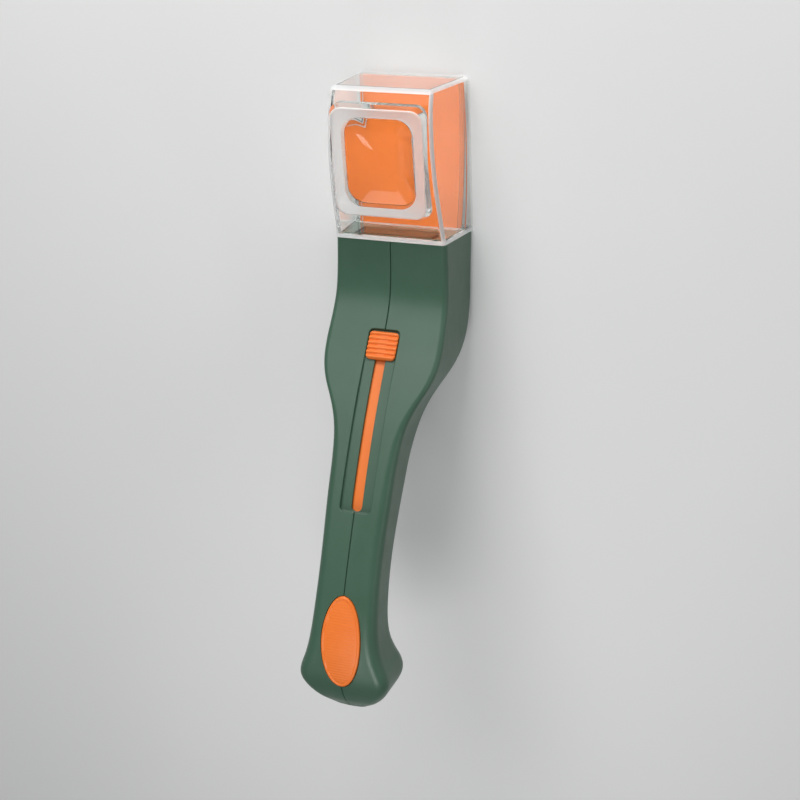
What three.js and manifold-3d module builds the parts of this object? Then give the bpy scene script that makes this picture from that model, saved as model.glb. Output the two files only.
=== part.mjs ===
// Bug viewer: a clear catching chamber with a magnifier, a two-part handle, and a trap door that a thumb
// slider draws back into the neck. Millimetres, +Z up. The tool lies mouth down: the chamber's open rim is
// at z = 0, the magnifier looks up, +Y points to the chamber's far end and the handle rises towards -Y.
// Y is measured from the joint between chamber and handle, and the whole tool is centred at the end.
import * as THREE from 'three';
import { mergeVertices } from 'three/addons/utils/BufferGeometryUtils.js';
import Module from 'manifold-3d';

const wasm = await Module();
wasm.setup();

// Clearances
const GAP = 0.3; // between pieces that touch
const RUNNING = 0.4; // between pieces that move
const SINK = 0.2; // how far one solid runs into the next of the same piece
const BEYOND = 400; // further out than any point of the tool
const CUT_PAST = 5; // how far a cutter goes on past the piece
const CUT_ABOVE = 12; // how far a cut into the handle's front goes on above it

// Chamber
const CHAMBER_LENGTH = 70.6;
const JOINT_Y = -2; // where the chamber and the handle meet
const CHAMBER_WALL = 2;
const MOUTH_HALF_NEAR = 30; // half widths of the open rim, at the handle and at the far end
const MOUTH_HALF_FAR = 27.7;
const FACE_HALF_NEAR = 27.15; // half widths of the front face
const FACE_HALF_FAR = 24.6;
const FACE_EDGE_RADIUS = 2;
const FAR_EDGE_RADIUS = 2.5;
// Height of the front face over the rim, against the share of the chamber's length
const FACE_LINE = [[0, 33.8], [0.19, 38.2], [0.42, 43.2], [0.62, 45.6], [0.8, 46], [0.92, 45], [1, 42.8]];

// Collar behind the chamber, which the two shells trap
const COLLAR_HALF = 20;
const COLLAR_LOW = 14.5;
const COLLAR_HIGH = 27.5;
const COLLAR_WALL = 2;
const COLLAR_LIP = 1.5;
const COLLAR_LIP_LENGTH = 2;
const BULKHEAD = 2.4; // thickness of the handle's end wall

// Magnifier
const LENS_CENTRE_Y = 37.5;
const LENS_BASE_HALF = [23.1, 26.7]; // outline where the raised frame meets the face, x and y
const LENS_CREST_HALF = [22, 25.5];
const LENS_WINDOW_HALF = [17.35, 21.3];
const LENS_FRAME_RADIUS = 5.5;
const LENS_WINDOW_RADIUS = 8.5;
const LENS_RISE = 3; // crest over the top of the face
const LENS_CREST_EDGE = [0.7, 0.3]; // the crest's outer edge is broken this far in and down
const LENS_BEVEL_DROP = 0.7;
const LENS_DOME = 1;
const LENS_PLUG_MARGIN = 1.2; // the plug is this much inside the window
const LENS_PLUG_DEPTH = 4.6;

// Trap door and its grooves, on an arc seen from the side
const DOOR_RADIUS = 210;
const DOOR_LOWEST_Z = 1.6;
const DOOR_LOWEST_Y = 38;
const DOOR_THICKNESS = 1.4;
const DOOR_HALF_WIDTH = 25;
const DOOR_OPEN_Y = 1.5; // leading edge when open
const DOOR_BACK_Y = -4; // end of the full width when closed
const DOOR_CORNER = 6;
const TONGUE_LENGTH = 9.5;
const TONGUE_HALF = 8;
const TONGUE_CORNER = 2.2;
const GROOVE_END_Y = -55; // where the grooves in the neck end
const GROOVE_OVERLAP = 1.6; // how far a ledge reaches over the door's edge
const LEDGE = 1.3; // thickness of the ledges
const MOUTH_FRAME_WIDTH = 2.4; // how far the frame reaches in under the door

// Slider, strip and carriage, on an arc that follows the handle's front
const SLIDE_RADIUS = 360;
const SLIDER_Y = -51.1; // middle of the button when closed
const SLOPE_END_Y = -121; // second point where the arc's depth is given
const STRIP_DEPTH_TOP = 2.8; // strip's top face under the handle's front
const STRIP_DEPTH_END = 3.8;
const SLIDE_TRAVEL = 71;
const STRIP_HALF = 4.6;
const STRIP_THICKNESS = 1.2;
const STRIP_TAIL = 79.6; // length below the middle of the button
const FLOOR_WALL = 1.2; // shell wall between the recess and the strip
const BUTTON_HALF = 7.3;
const BUTTON_LENGTH = 13.8;
const BUTTON_PROUD = 1.2; // crest of the ribs over the handle's front
const BUTTON_END_CLEAR = 0.9; // between the button and the recess's ends
const BUTTON_CORNER = 2.2;
const RIB_COUNT = 6;
const RIB_DEPTH = 0.8;
const STEM_HALF = 2.2;
const STEM_LENGTH = 11.4;
const STEM_CORNER = 1.9;
const CARRIAGE_HALF = 6.6;
const CARRIAGE_LENGTH = 16;
const CARRIAGE_THICKNESS = 2.2;
const RAIL_WIDTH = 1.5;
const RAIL_CLEAR = 0.6; // between a leg and the rail's lip
const DECK_RISE = 2.4; // how far the thick part under the recess reaches up its sides
const SLIDER_SCREW_RADIUS = 1;
const SLIDER_SCREW_HEAD_RADIUS = 1.9;
const SLIDER_SCREW_HEAD = 1.1;
const SLIDER_SCREW_REACH = 3.2; // into the button, from the top of the carriage

// Drive between carriage and door
const DRIVE_PIN_AT = [-47.5, 24.1]; // y and z when closed
const DRIVE_PIN_RADIUS = 1.25;
const LEG_THICKNESS = 2;
const LEG_EYE = 3; // radius of the leg's end round the pin
const ARM_HALF = 2.1; // half of the arm's thickness
const ARM_REACH = 3.1; // radius of the arm's bar
const ARM_WEB = 2; // material round the curved slot
const ARM_FOOT = [6.5, 13.2]; // the foot runs between these distances behind the joint
const ARM_FOOT_HALF = 6.8;
const ARM_FOOT_THICKNESS = 1.6;
const RIVET_AT = [4.6, 9.6]; // x and distance behind the joint
const RIVET_RADIUS = 1;
const RIVET_HEAD_RADIUS = 1.8;
const RIVET_HEAD = 0.8;

// Handle: front and back lines and half width, each against y
const HANDLE_WALL = 2.2;
const FRONT_LINE = [[0, 32.5], [-18, 32.2], [-29, 33.3], [-36, 36.1], [-42, 39.7], [-49, 43.9], [-56, 48.6],
  [-74, 60.3], [-93, 70.6], [-107, 77.6], [-121, 84], [-133, 89.1], [-143, 93.2], [-153, 97], [-164, 100.6],
  [-175, 103.2], [-187, 104.3], [-199, 103.4], [-209, 98.4], [-214, 93.6], [-216.8, 90]];
const BACK_LINE = [[0, 0], [-30, 0], [-38, 0.8], [-48, 4.5], [-58, 10.8], [-68, 18.6], [-78, 27.2],
  [-88, 35.4], [-98, 43], [-110, 50.2], [-122, 56.5], [-138, 64.4], [-158, 72.5], [-172, 77], [-180, 77.8],
  [-187, 76], [-194, 74.2], [-201, 75], [-208, 79], [-213, 83.2], [-216.8, 87.4]];
const HALF_WIDTH_LINE = [[0, 27.4], [-23, 28], [-40, 28.7], [-52, 29.2], [-59, 28.4], [-65, 26.4],
  [-74, 21.4], [-83, 18], [-98, 16.2], [-112, 15.9], [-130, 15.4], [-146, 15.2], [-164, 15.8], [-177, 17.1],
  [-186, 19.2], [-193, 21.8], [-198, 22.4], [-204, 20], [-211, 14.2], [-214.6, 9.4], [-216.8, 4]];
const BACK_FLARE_LINE = [[0, 2.4], [-50, 1.2], [-85, 0], [-216.8, 0]]; // more half width at the back
const FRONT_ROUND_LINE = [[0, 2.4], [-60, 3], [-100, 4.5], [-180, 5.5], [-205, 5], [-216.8, 1]];
const BACK_ROUND_LINE = [[0, 2.4], [-45, 5], [-100, 8], [-180, 8], [-205, 6], [-216.8, 1]];
const LEAST_ROUND = 0.3;
const MOST_ROUND = 0.46; // as a share of the handle's height and width
const FRONT_CROWN = 0.6; // rise of the front at the seam
const STATION_STEP = 5.4; // between the rings that make up the handle, outside and inside
const INNER_STEP = 10;
const BUTT_ROUND_Y = -200;

// Oval grip in the butt
const OVAL_CENTRE_Y = -177.2;
const OVAL_HALF_WIDTH = 9.7;
const OVAL_HALF_LENGTH = 22.1;
const OVAL_PROUD = 0.5;
const OVAL_SUNK = 1.5;
const OVAL_SEAT_WALL = 1.5;
const OVAL_PEG_X = 6.6;
const OVAL_PEG_RADIUS = 1.2;
const OVAL_PEG_LENGTH = 3.4;

// Screws that close the shells: y and z of each
const SCREWS_AT = [[-13.5, 23.5], [-38, 9], [-128, 71], [-162, 84.5], [-203, 89]];
const SCREW_RADIUS = 1.3;
const SCREW_HEAD_RADIUS = 2.6;
const SCREW_HEAD = 1.7;
const SCREW_LENGTH = 15;
const SCREW_SEAT_X = -8; // where the head bears
const BOSS_WALL = 1.3;
const DRIVE_SLOT = [0.45, 1.6]; // half width and half length of the cross in a screw's head
const DRIVE_SLOT_DEPTH = 0.9;

// Facets
const ROUND_SIDES = 16;
const SMALL_SIDES = 10;
const ARC_STEPS = 9;

// Materials
const plastic = (color, roughness) => new THREE.MeshStandardMaterial({ color, roughness, metalness: 0 });
const greenPlastic = () => plastic(0x3f5f4c, 0.42);
const orangePlastic = () => plastic(0xf57d2a, 0.45);
const steel = () => new THREE.MeshStandardMaterial({ color: 0xb9bcc0, roughness: 0.3, metalness: 1 });
const clearPlastic = () =>
  new THREE.MeshStandardMaterial({ color: 0xf2f4f4, roughness: 0.05, transparent: true, opacity: 0.35 });

// Solids
function solidOf(geometry) {
  const bare = geometry.clone();
  bare.deleteAttribute('normal');
  bare.deleteAttribute('uv');
  const merged = mergeVertices(bare, 1e-4);
  const made = (triVerts) =>
    new wasm.Manifold(
      new wasm.Mesh({ numProp: 3, vertProperties: merged.attributes.position.array, triVerts }),
    );
  const triangles = new Uint32Array(merged.index.array);
  const solid = made(triangles);
  return solid.volume() < 0 ? made(triangles.reverse()) : solid;
}

const joined = (solids) => solids.reduce((all, one) => all.add(one));

function meshOf(name, solid, material) {
  const { numProp, vertProperties, triVerts } = solid.getMesh();
  const geometry = new THREE.BufferGeometry();
  geometry.setAttribute('position', new THREE.BufferAttribute(vertProperties, numProp));
  geometry.setIndex(new THREE.BufferAttribute(triVerts, 1));
  const flat = geometry.toNonIndexed();
  flat.computeVertexNormals();
  const mesh = new THREE.Mesh(flat, material);
  mesh.name = name;
  return mesh;
}

// Rings of points, one after the other, skinned and closed by a fan at each end
function loft(rings) {
  const count = rings[0].length;
  const points = rings.flat();
  const index = [];
  for (let ring = 0; ring + 1 < rings.length; ring += 1) {
    for (let i = 0; i < count; i += 1) {
      const a = ring * count + i;
      const b = ring * count + ((i + 1) % count);
      index.push(a, b, b + count, a, b + count, a + count);
    }
  }
  for (const [ring, order] of [[0, [1, 0]], [rings.length - 1, [0, 1]]]) {
    const middle = new THREE.Vector3();
    rings[ring].forEach((point) => middle.addScaledVector(point, 1 / count));
    points.push(middle);
    for (let i = 0; i < count; i += 1) {
      const pair = [ring * count + i, ring * count + ((i + 1) % count)];
      index.push(pair[order[0]], pair[order[1]], points.length - 1);
    }
  }
  const geometry = new THREE.BufferGeometry().setFromPoints(points);
  geometry.setIndex(index);
  return solidOf(geometry);
}

function block(xs, ys, zs) {
  const geometry = new THREE.BoxGeometry(xs[1] - xs[0], ys[1] - ys[0], zs[1] - zs[0]);
  geometry.translate((xs[0] + xs[1]) / 2, (ys[0] + ys[1]) / 2, (zs[0] + zs[1]) / 2);
  return solidOf(geometry);
}

// A rod along X through y, z
function crossRod(radius, xs, [y, z], sides = ROUND_SIDES) {
  const geometry = new THREE.CylinderGeometry(radius, radius, xs[1] - xs[0], sides);
  geometry.rotateZ(Math.PI / 2);
  geometry.translate((xs[0] + xs[1]) / 2, y, z);
  return solidOf(geometry);
}

// A rod along the local Z of a frame
function uprightRod(radius, zs, x, y, frame, sides = SMALL_SIDES) {
  const geometry = new THREE.CylinderGeometry(radius, radius, zs[1] - zs[0], sides);
  geometry.rotateX(Math.PI / 2);
  geometry.translate(x, y, (zs[0] + zs[1]) / 2);
  return solidOf(geometry.applyMatrix4(frame));
}

// A shape drawn in the side view, x as Y and y as Z, between two values of X
const SIDE_VIEW = new THREE.Matrix4().makeBasis(
  new THREE.Vector3(0, 1, 0),
  new THREE.Vector3(0, 0, 1),
  new THREE.Vector3(1, 0, 0),
);
function sidePlate(shape, xs) {
  const options = { depth: xs[1] - xs[0], bevelEnabled: false, curveSegments: ARC_STEPS };
  const geometry = new THREE.ExtrudeGeometry(shape, options);
  geometry.applyMatrix4(SIDE_VIEW);
  geometry.translate(xs[0], 0, 0);
  return solidOf(geometry);
}

// A shape drawn from above, between two heights of a frame
function topPlate(shape, zs, frame = new THREE.Matrix4()) {
  const options = { depth: zs[1] - zs[0], bevelEnabled: false, curveSegments: 6 };
  const geometry = new THREE.ExtrudeGeometry(shape, options);
  geometry.translate(0, 0, zs[0]);
  return solidOf(geometry.applyMatrix4(frame));
}

function roundedOutline(xs, ys, radius) {
  const shape = new THREE.Shape();
  shape.absarc(xs[1] - radius, ys[1] - radius, radius, 0, Math.PI / 2);
  shape.absarc(xs[0] + radius, ys[1] - radius, radius, Math.PI / 2, Math.PI);
  shape.absarc(xs[0] + radius, ys[0] + radius, radius, Math.PI, 1.5 * Math.PI);
  shape.absarc(xs[1] - radius, ys[0] + radius, radius, 1.5 * Math.PI, 2 * Math.PI);
  return shape;
}

// A band between two radii and two angles about a centre in the side view
function arcBand(centre, radii, angles, xs) {
  const shape = new THREE.Shape();
  shape.absarc(centre.x, centre.y, radii[1], angles[0], angles[1], false);
  shape.absarc(centre.x, centre.y, radii[0], angles[1], angles[0], true);
  return sidePlate(shape, xs);
}

// A bar with round ends in the side view
function bar(from, to, radius, xs) {
  const along = Math.atan2(to.y - from.y, to.x - from.x);
  const shape = new THREE.Shape();
  shape.absarc(to.x, to.y, radius, along - Math.PI / 2, along + Math.PI / 2);
  shape.absarc(from.x, from.y, radius, along + Math.PI / 2, along + 1.5 * Math.PI);
  const options = { depth: xs[1] - xs[0], bevelEnabled: false, curveSegments: 5 };
  const geometry = new THREE.ExtrudeGeometry(shape, options);
  geometry.applyMatrix4(SIDE_VIEW);
  geometry.translate(xs[0], 0, 0);
  return solidOf(geometry);
}

const barsThrough = (points, radius, xs) =>
  joined(points.slice(1).map((point, i) => bar(points[i], point, radius, xs)));

// A smooth line through given points, as a function of the first value
function through(points) {
  const sorted = [...points].sort((a, b) => a[0] - b[0]);
  const line = new THREE.CubicInterpolant(sorted.map((p) => p[0]), sorted.map((p) => p[1]), 1);
  return (at) => line.evaluate(at)[0];
}

const frontZ = through(FRONT_LINE);
const backLine = through(BACK_LINE);
const backZ = (y) => Math.max(0, backLine(y)); // nothing hangs below the rim
const halfWidth = through(HALF_WIDTH_LINE);
const backFlare = through(BACK_FLARE_LINE);
const frontRound = through(FRONT_ROUND_LINE);
const backRound = through(BACK_ROUND_LINE);
const faceZ = through(FACE_LINE);
const BUTT_Y = FRONT_LINE.at(-1)[0];

// Stretch of a line that rises and falls, per unit of Y
function slant(line, y) {
  const step = 0.5;
  return Math.hypot(1, (line(y + step) - line(y - step)) / (2 * step));
}

// Four rounded corners and the crown of the front, at one place along the handle
function handleRing(y, offset, steps) {
  const inside = Math.min(Math.max(y, BUTT_Y + 0.5), -0.5);
  const top = frontZ(y) + offset * slant(frontZ, inside);
  const bottom = backZ(y) - offset * slant(backZ, inside);
  const wide = halfWidth(y) + offset;
  const low = wide + backFlare(y);
  const fitted = (radius) =>
    Math.min(Math.max(radius + offset, LEAST_ROUND), MOST_ROUND * (top - bottom), 2 * MOST_ROUND * wide);
  const topRound = fitted(frontRound(y));
  const bottomRound = fitted(backRound(y));
  const ring = [];
  const corner = (x, z, radius, from) => {
    for (let i = 0; i <= steps; i += 1) {
      const turn = from + (i / steps) * (Math.PI / 2);
      ring.push(new THREE.Vector3(x + radius * Math.cos(turn), y, z + radius * Math.sin(turn)));
    }
  };
  corner(wide - topRound, top - topRound, topRound, 0);
  for (const share of [0.6, 0, -0.6]) {
    const x = share * (wide - topRound);
    const rise = FRONT_CROWN * (1 - (x / wide) ** 2) * Math.min(1, wide / OVAL_HALF_WIDTH);
    ring.push(new THREE.Vector3(x, y, top + rise));
  }
  corner(topRound - wide, top - topRound, topRound, Math.PI / 2);
  corner(bottomRound - low, bottom + bottomRound, bottomRound, Math.PI);
  ring.push(new THREE.Vector3(0, y, bottom));
  corner(low - bottomRound, bottom + bottomRound, bottomRound, 1.5 * Math.PI);
  return ring;
}

// Rings are closer together where the butt rounds off
function handleSolid(offset, fromY, toY, step = STATION_STEP) {
  const cornerSteps = step > STATION_STEP ? 2 : 4;
  const rings = [];
  for (let y = fromY; y > toY + step / 4; y -= y > BUTT_ROUND_Y ? step : step / 2) {
    rings.push(handleRing(y, offset, cornerSteps));
  }
  rings.push(handleRing(toY, offset, cornerSteps));
  return loft(rings);
}

// Chamber
const chamberShare = (y) => Math.min(Math.max(y / CHAMBER_LENGTH, 0), 1);
const between = (near, far, y) => near + (far - near) * chamberShare(y);

function chamberRing(y, inset, low) {
  const height = faceZ(chamberShare(y)) - inset;
  const wide = between(FACE_HALF_NEAR, FACE_HALF_FAR, y) - inset;
  const rim = between(MOUTH_HALF_NEAR, MOUTH_HALF_FAR, y) - inset;
  const radius = Math.max(FACE_EDGE_RADIUS - inset, 0.4);
  const steps = 3;
  const right = [new THREE.Vector3(rim - ((rim - wide) * low) / height, y, low)];
  for (let i = 0; i <= steps; i += 1) {
    const turn = (i / steps) * (Math.PI / 2);
    const x = wide - radius + radius * Math.cos(turn);
    right.push(new THREE.Vector3(x, y, height - radius + radius * Math.sin(turn)));
  }
  const left = right.map((point) => new THREE.Vector3(-point.x, point.y, point.z)).reverse();
  return [...right, ...left];
}

function chamberSolid(grow) {
  const count = 11;
  const straight = CHAMBER_LENGTH - FAR_EDGE_RADIUS;
  const rings = [chamberRing(JOINT_Y, -grow, 0)];
  for (let i = 0; i <= count; i += 1) {
    rings.push(chamberRing((straight * i) / count, -grow, 0));
  }
  for (const turn of [Math.PI / 6, Math.PI / 3, Math.PI / 2]) {
    const inset = FAR_EDGE_RADIUS * (1 - Math.cos(turn));
    rings.push(chamberRing(straight + FAR_EDGE_RADIUS * Math.sin(turn), inset - grow, 0));
  }
  return loft(rings);
}

function chamberHollow() {
  const count = 8;
  const rings = [chamberRing(JOINT_Y + CHAMBER_WALL, CHAMBER_WALL, -1)];
  for (let i = 0; i <= count; i += 1) {
    const y = CHAMBER_WALL + ((CHAMBER_LENGTH - 2 * CHAMBER_WALL) * i) / count;
    rings.push(chamberRing(y, CHAMBER_WALL, -1));
  }
  return loft(rings);
}

// Door's arc: the lower face is at DOOR_RADIUS about this centre in the side view
const doorCentre = new THREE.Vector2(DOOR_LOWEST_Y, DOOR_LOWEST_Z + DOOR_RADIUS);
const doorAngle = (y) => -Math.PI / 2 + Math.asin((y - doorCentre.x) / DOOR_RADIUS);
const DOOR_LEAD_Y = CHAMBER_LENGTH - CHAMBER_WALL - GAP;
const DOOR_TURN = doorAngle(DOOR_LEAD_Y) - doorAngle(DOOR_OPEN_Y);
const doorTop = DOOR_RADIUS - DOOR_THICKNESS;

function doorBand(radii, ys, xs) {
  return arcBand(doorCentre, radii, ys.map(doorAngle), xs);
}

// A frame on the door's lower face, local Z towards the door's centre
function doorFrame(y) {
  const angle = doorAngle(y);
  const frame = new THREE.Matrix4().makeRotationX(angle + Math.PI / 2);
  return frame.setPosition(
    0,
    doorCentre.x + DOOR_RADIUS * Math.cos(angle),
    doorCentre.y + DOOR_RADIUS * Math.sin(angle),
  );
}

// Slider's arc: the strip's top face is at SLIDE_RADIUS about this centre
function arcCentre(from, to, radius) {
  const chord = to.clone().sub(from);
  const inward = new THREE.Vector2(chord.y, -chord.x).normalize();
  if (inward.y > 0) inward.negate();
  const depth = Math.sqrt(radius ** 2 - chord.lengthSq() / 4);
  return from.clone().add(to).multiplyScalar(0.5).addScaledVector(inward, depth);
}
const slideStart = new THREE.Vector2(SLIDER_Y, frontZ(SLIDER_Y) - STRIP_DEPTH_TOP);
const slideFinish = new THREE.Vector2(SLOPE_END_Y, frontZ(SLOPE_END_Y) - STRIP_DEPTH_END);
const slideCentre = arcCentre(slideStart, slideFinish, SLIDE_RADIUS);
const SLIDE_TURN = SLIDE_TRAVEL / SLIDE_RADIUS;
const closedAngle = slideStart.clone().sub(slideCentre).angle();
// Angle of a place this far along the arc from the closed slider's middle, towards the butt
const slideAngle = (along) => closedAngle + along / SLIDE_RADIUS;

function slideBand(radii, alongs, xs) {
  return arcBand(slideCentre, radii, alongs.map(slideAngle), xs);
}

// A frame at the closed slider: local Y points to the chamber and local Z out of the handle's front
const sliderFrame = new THREE.Matrix4()
  .makeRotationX(closedAngle - Math.PI / 2)
  .setPosition(0, slideStart.x, slideStart.y);

const wallUnder = SLIDE_RADIUS + GAP; // underside of the recess floor
const floorRadius = wallUnder + FLOOR_WALL;
const frontRadius = SLIDE_RADIUS + STRIP_DEPTH_TOP * Math.sin(closedAngle);
const stripUnder = SLIDE_RADIUS - STRIP_THICKNESS;
const carriageTop = stripUnder - GAP;
const carriageUnder = carriageTop - CARRIAGE_THICKNESS;
const recessHalf = BUTTON_HALF + RUNNING;
const slotHalf = STEM_HALF + RUNNING;
const legInner = ARM_HALF + 1;
const legOuter = legInner + LEG_THICKNESS;
const railInner = legOuter + RAIL_CLEAR;
const railOuter = Math.max(CARRIAGE_HALF + RUNNING, recessHalf) + RAIL_WIDTH;

// The drive pin's places in the door's own frame, from closed to open
function turned(point, centre, angle) {
  return point.clone().rotateAround(centre, angle);
}
function pinPathInDoor(steps) {
  const closed = new THREE.Vector2(...DRIVE_PIN_AT);
  const path = [];
  for (let i = 0; i <= steps; i += 1) {
    const share = i / steps;
    const now = turned(closed, slideCentre, SLIDE_TURN * share);
    path.push(turned(now, doorCentre, DOOR_TURN * share));
  }
  return path;
}

// Lens frame: local Z out of the front face, at the face's height in its middle
const faceAt = (y) => faceZ(chamberShare(y));
const lensEnds = [LENS_CENTRE_Y - LENS_BASE_HALF[1], LENS_CENTRE_Y + LENS_BASE_HALF[1]];
const lensTilt = Math.atan2(faceAt(lensEnds[1]) - faceAt(lensEnds[0]), lensEnds[1] - lensEnds[0]);
const lensFrame = new THREE.Matrix4()
  .makeRotationX(lensTilt)
  .setPosition(0, LENS_CENTRE_Y, faceAt(LENS_CENTRE_Y));

function roundedRing(half, radius, z, frame) {
  const steps = 5;
  const ring = [];
  for (const [sx, sy, from] of [[1, 1, 0], [-1, 1, 0.5], [-1, -1, 1], [1, -1, 1.5]]) {
    for (let i = 0; i <= steps; i += 1) {
      const turn = (from + i / (2 * steps)) * Math.PI;
      const x = sx * (half[0] - radius) + radius * Math.cos(turn);
      const y = sy * (half[1] - radius) + radius * Math.sin(turn);
      ring.push(new THREE.Vector3(x, y, z).applyMatrix4(frame));
    }
  }
  return ring;
}

// Rings that close a rounded window with a shallow dome
function domeRings(half, radius, z, rise) {
  return [0.8, 0.55, 0.25].map((share) => {
    const size = half.map((value) => value * share);
    return roundedRing(size, radius * share, z + rise * (1 - share ** 2), lensFrame);
  });
}

const plugHalf = LENS_WINDOW_HALF.map((value) => value - LENS_PLUG_MARGIN);
const plugRadius = LENS_WINDOW_RADIUS - LENS_PLUG_MARGIN;

function magnifierLens() {
  const crest = LENS_RISE;
  const window = crest - LENS_BEVEL_DROP;
  const [edgeIn, edgeDown] = LENS_CREST_EDGE;
  const crestInner = LENS_CREST_HALF.map((value) => value - edgeIn);
  const frame = loft([
    roundedRing(LENS_BASE_HALF, LENS_FRAME_RADIUS, -LENS_BASE_HALF[1] * 0.3, lensFrame),
    roundedRing(LENS_BASE_HALF, LENS_FRAME_RADIUS, 0, lensFrame),
    roundedRing(LENS_CREST_HALF, LENS_FRAME_RADIUS, crest - edgeDown, lensFrame),
    roundedRing(crestInner, LENS_FRAME_RADIUS, crest, lensFrame),
    roundedRing(LENS_WINDOW_HALF, LENS_WINDOW_RADIUS, window, lensFrame),
    ...domeRings(LENS_WINDOW_HALF, LENS_WINDOW_RADIUS, window, LENS_DOME),
  ]);
  const plug = loft([
    ...domeRings(plugHalf, plugRadius, -LENS_PLUG_DEPTH, -LENS_DOME).reverse(),
    roundedRing(plugHalf, plugRadius, -LENS_PLUG_DEPTH, lensFrame),
    roundedRing(plugHalf, plugRadius, window - 0.5, lensFrame),
  ]);
  const solid = frame.subtract(chamberSolid(GAP)).add(plug);
  return meshOf('magnifier_lens', solid, clearPlastic());
}

function viewingChamber() {
  const hole = plugHalf.map((value) => value + GAP);
  const lensHole = loft([
    roundedRing(hole, plugRadius + GAP, -LENS_PLUG_DEPTH - LENS_RISE, lensFrame),
    roundedRing(hole, plugRadius + GAP, 2 * LENS_RISE, lensFrame),
  ]);
  const outside = chamberSolid(0);
  const ledges = doorBand(
    [doorTop - RUNNING - LEDGE, doorTop - RUNNING],
    [JOINT_Y + CHAMBER_WALL / 2, CHAMBER_LENGTH - CHAMBER_WALL / 2],
    [-MOUTH_HALF_NEAR, MOUTH_HALF_NEAR],
  );
  const reach = DOOR_HALF_WIDTH - GROOVE_OVERLAP;
  const clear = block(
    [-reach, reach],
    [JOINT_Y + CHAMBER_WALL, CHAMBER_LENGTH - CHAMBER_WALL],
    [-1, COLLAR_LOW],
  );
  const doorway = doorBand(
    [doorTop - RUNNING, DOOR_RADIUS + RUNNING],
    [JOINT_Y - CHAMBER_WALL, JOINT_Y + 2 * CHAMBER_WALL],
    [-DOOR_HALF_WIDTH - RUNNING, DOOR_HALF_WIDTH + RUNNING],
  );
  const collarEnd = JOINT_Y - BULKHEAD - 2 * GAP - COLLAR_LIP_LENGTH;
  const collar = block(
    [-COLLAR_HALF, COLLAR_HALF],
    [collarEnd, JOINT_Y + CHAMBER_WALL / 2],
    [COLLAR_LOW, COLLAR_HIGH],
  );
  const lip = block(
    [-COLLAR_HALF - COLLAR_LIP, COLLAR_HALF + COLLAR_LIP],
    [collarEnd, collarEnd + COLLAR_LIP_LENGTH],
    [COLLAR_LOW - COLLAR_LIP, COLLAR_HIGH + COLLAR_LIP],
  );
  const bore = block(
    [COLLAR_WALL - COLLAR_HALF, COLLAR_HALF - COLLAR_WALL],
    [collarEnd - 1, JOINT_Y],
    [COLLAR_LOW + COLLAR_WALL, COLLAR_HIGH - COLLAR_WALL],
  );
  const solid = outside
    .subtract(chamberHollow())
    .add(ledges.subtract(clear).intersect(outside))
    .subtract(lensHole)
    .subtract(doorway)
    .add(collar.add(lip).subtract(bore));
  return meshOf('viewing_chamber', solid, clearPlastic());
}

// Frame in the chamber's rim that carries the door's edges from below
function mouthFrame() {
  const ends = [JOINT_Y + CHAMBER_WALL + GAP, CHAMBER_LENGTH - CHAMBER_WALL - GAP];
  const inset = CHAMBER_WALL + GAP;
  const outline = new THREE.Shape([
    new THREE.Vector2(between(MOUTH_HALF_NEAR, MOUTH_HALF_FAR, ends[0]) - inset, ends[0]),
    new THREE.Vector2(between(MOUTH_HALF_NEAR, MOUTH_HALF_FAR, ends[1]) - inset, ends[1]),
    new THREE.Vector2(inset - between(MOUTH_HALF_NEAR, MOUTH_HALF_FAR, ends[1]), ends[1]),
    new THREE.Vector2(inset - between(MOUTH_HALF_NEAR, MOUTH_HALF_FAR, ends[0]), ends[0]),
  ]);
  const reach = DOOR_HALF_WIDTH - MOUTH_FRAME_WIDTH;
  const height = 2 * DOOR_LOWEST_Z + 2;
  const opening = roundedOutline(
    [-reach, reach],
    [ends[0] + MOUTH_FRAME_WIDTH, ends[1] - MOUTH_FRAME_WIDTH],
    MOUTH_FRAME_WIDTH,
  );
  // The walls draw in towards the front, so the frame leans in with them
  const lean = (MOUTH_HALF_NEAR - FACE_HALF_NEAR) / faceAt(0);
  const geometry = new THREE.ExtrudeGeometry(outline, { depth: height, bevelEnabled: false });
  const places = geometry.attributes.position;
  for (let i = 0; i < places.count; i += 1) {
    places.setX(i, places.getX(i) - Math.sign(places.getX(i)) * lean * places.getZ(i));
  }
  const overDoor = doorBand(
    [DOOR_RADIUS / 2, DOOR_RADIUS + RUNNING],
    [DOOR_LOWEST_Y - CHAMBER_LENGTH, DOOR_LOWEST_Y + CHAMBER_LENGTH],
    [-MOUTH_HALF_NEAR, MOUTH_HALF_NEAR],
  );
  const solid = solidOf(geometry).subtract(topPlate(opening, [-1, height + 1])).subtract(overDoor);
  return meshOf('mouth_frame', solid, clearPlastic());
}

function doorPanel() {
  const tongueEnd = DOOR_BACK_Y - TONGUE_LENGTH;
  const width = DOOR_HALF_WIDTH;
  const outline = roundedOutline([-width, width], [DOOR_BACK_Y, DOOR_LEAD_Y], DOOR_CORNER);
  const tall = [-1, BEYOND];
  const front = block([-width, width], [DOOR_LEAD_Y - DOOR_CORNER, DOOR_LEAD_Y], tall);
  const tongue = roundedOutline([-TONGUE_HALF, TONGUE_HALF], [tongueEnd, 0], TONGUE_CORNER);
  const band = doorBand([doorTop, DOOR_RADIUS], [tongueEnd - 1, DOOR_LEAD_Y], [-width, width]);
  const plan = topPlate(outline, tall).add(front).add(topPlate(tongue, tall));
  const solid = band.intersect(plan).subtract(rivetHoles());
  return meshOf('door_panel', solid, orangePlastic());
}

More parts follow.
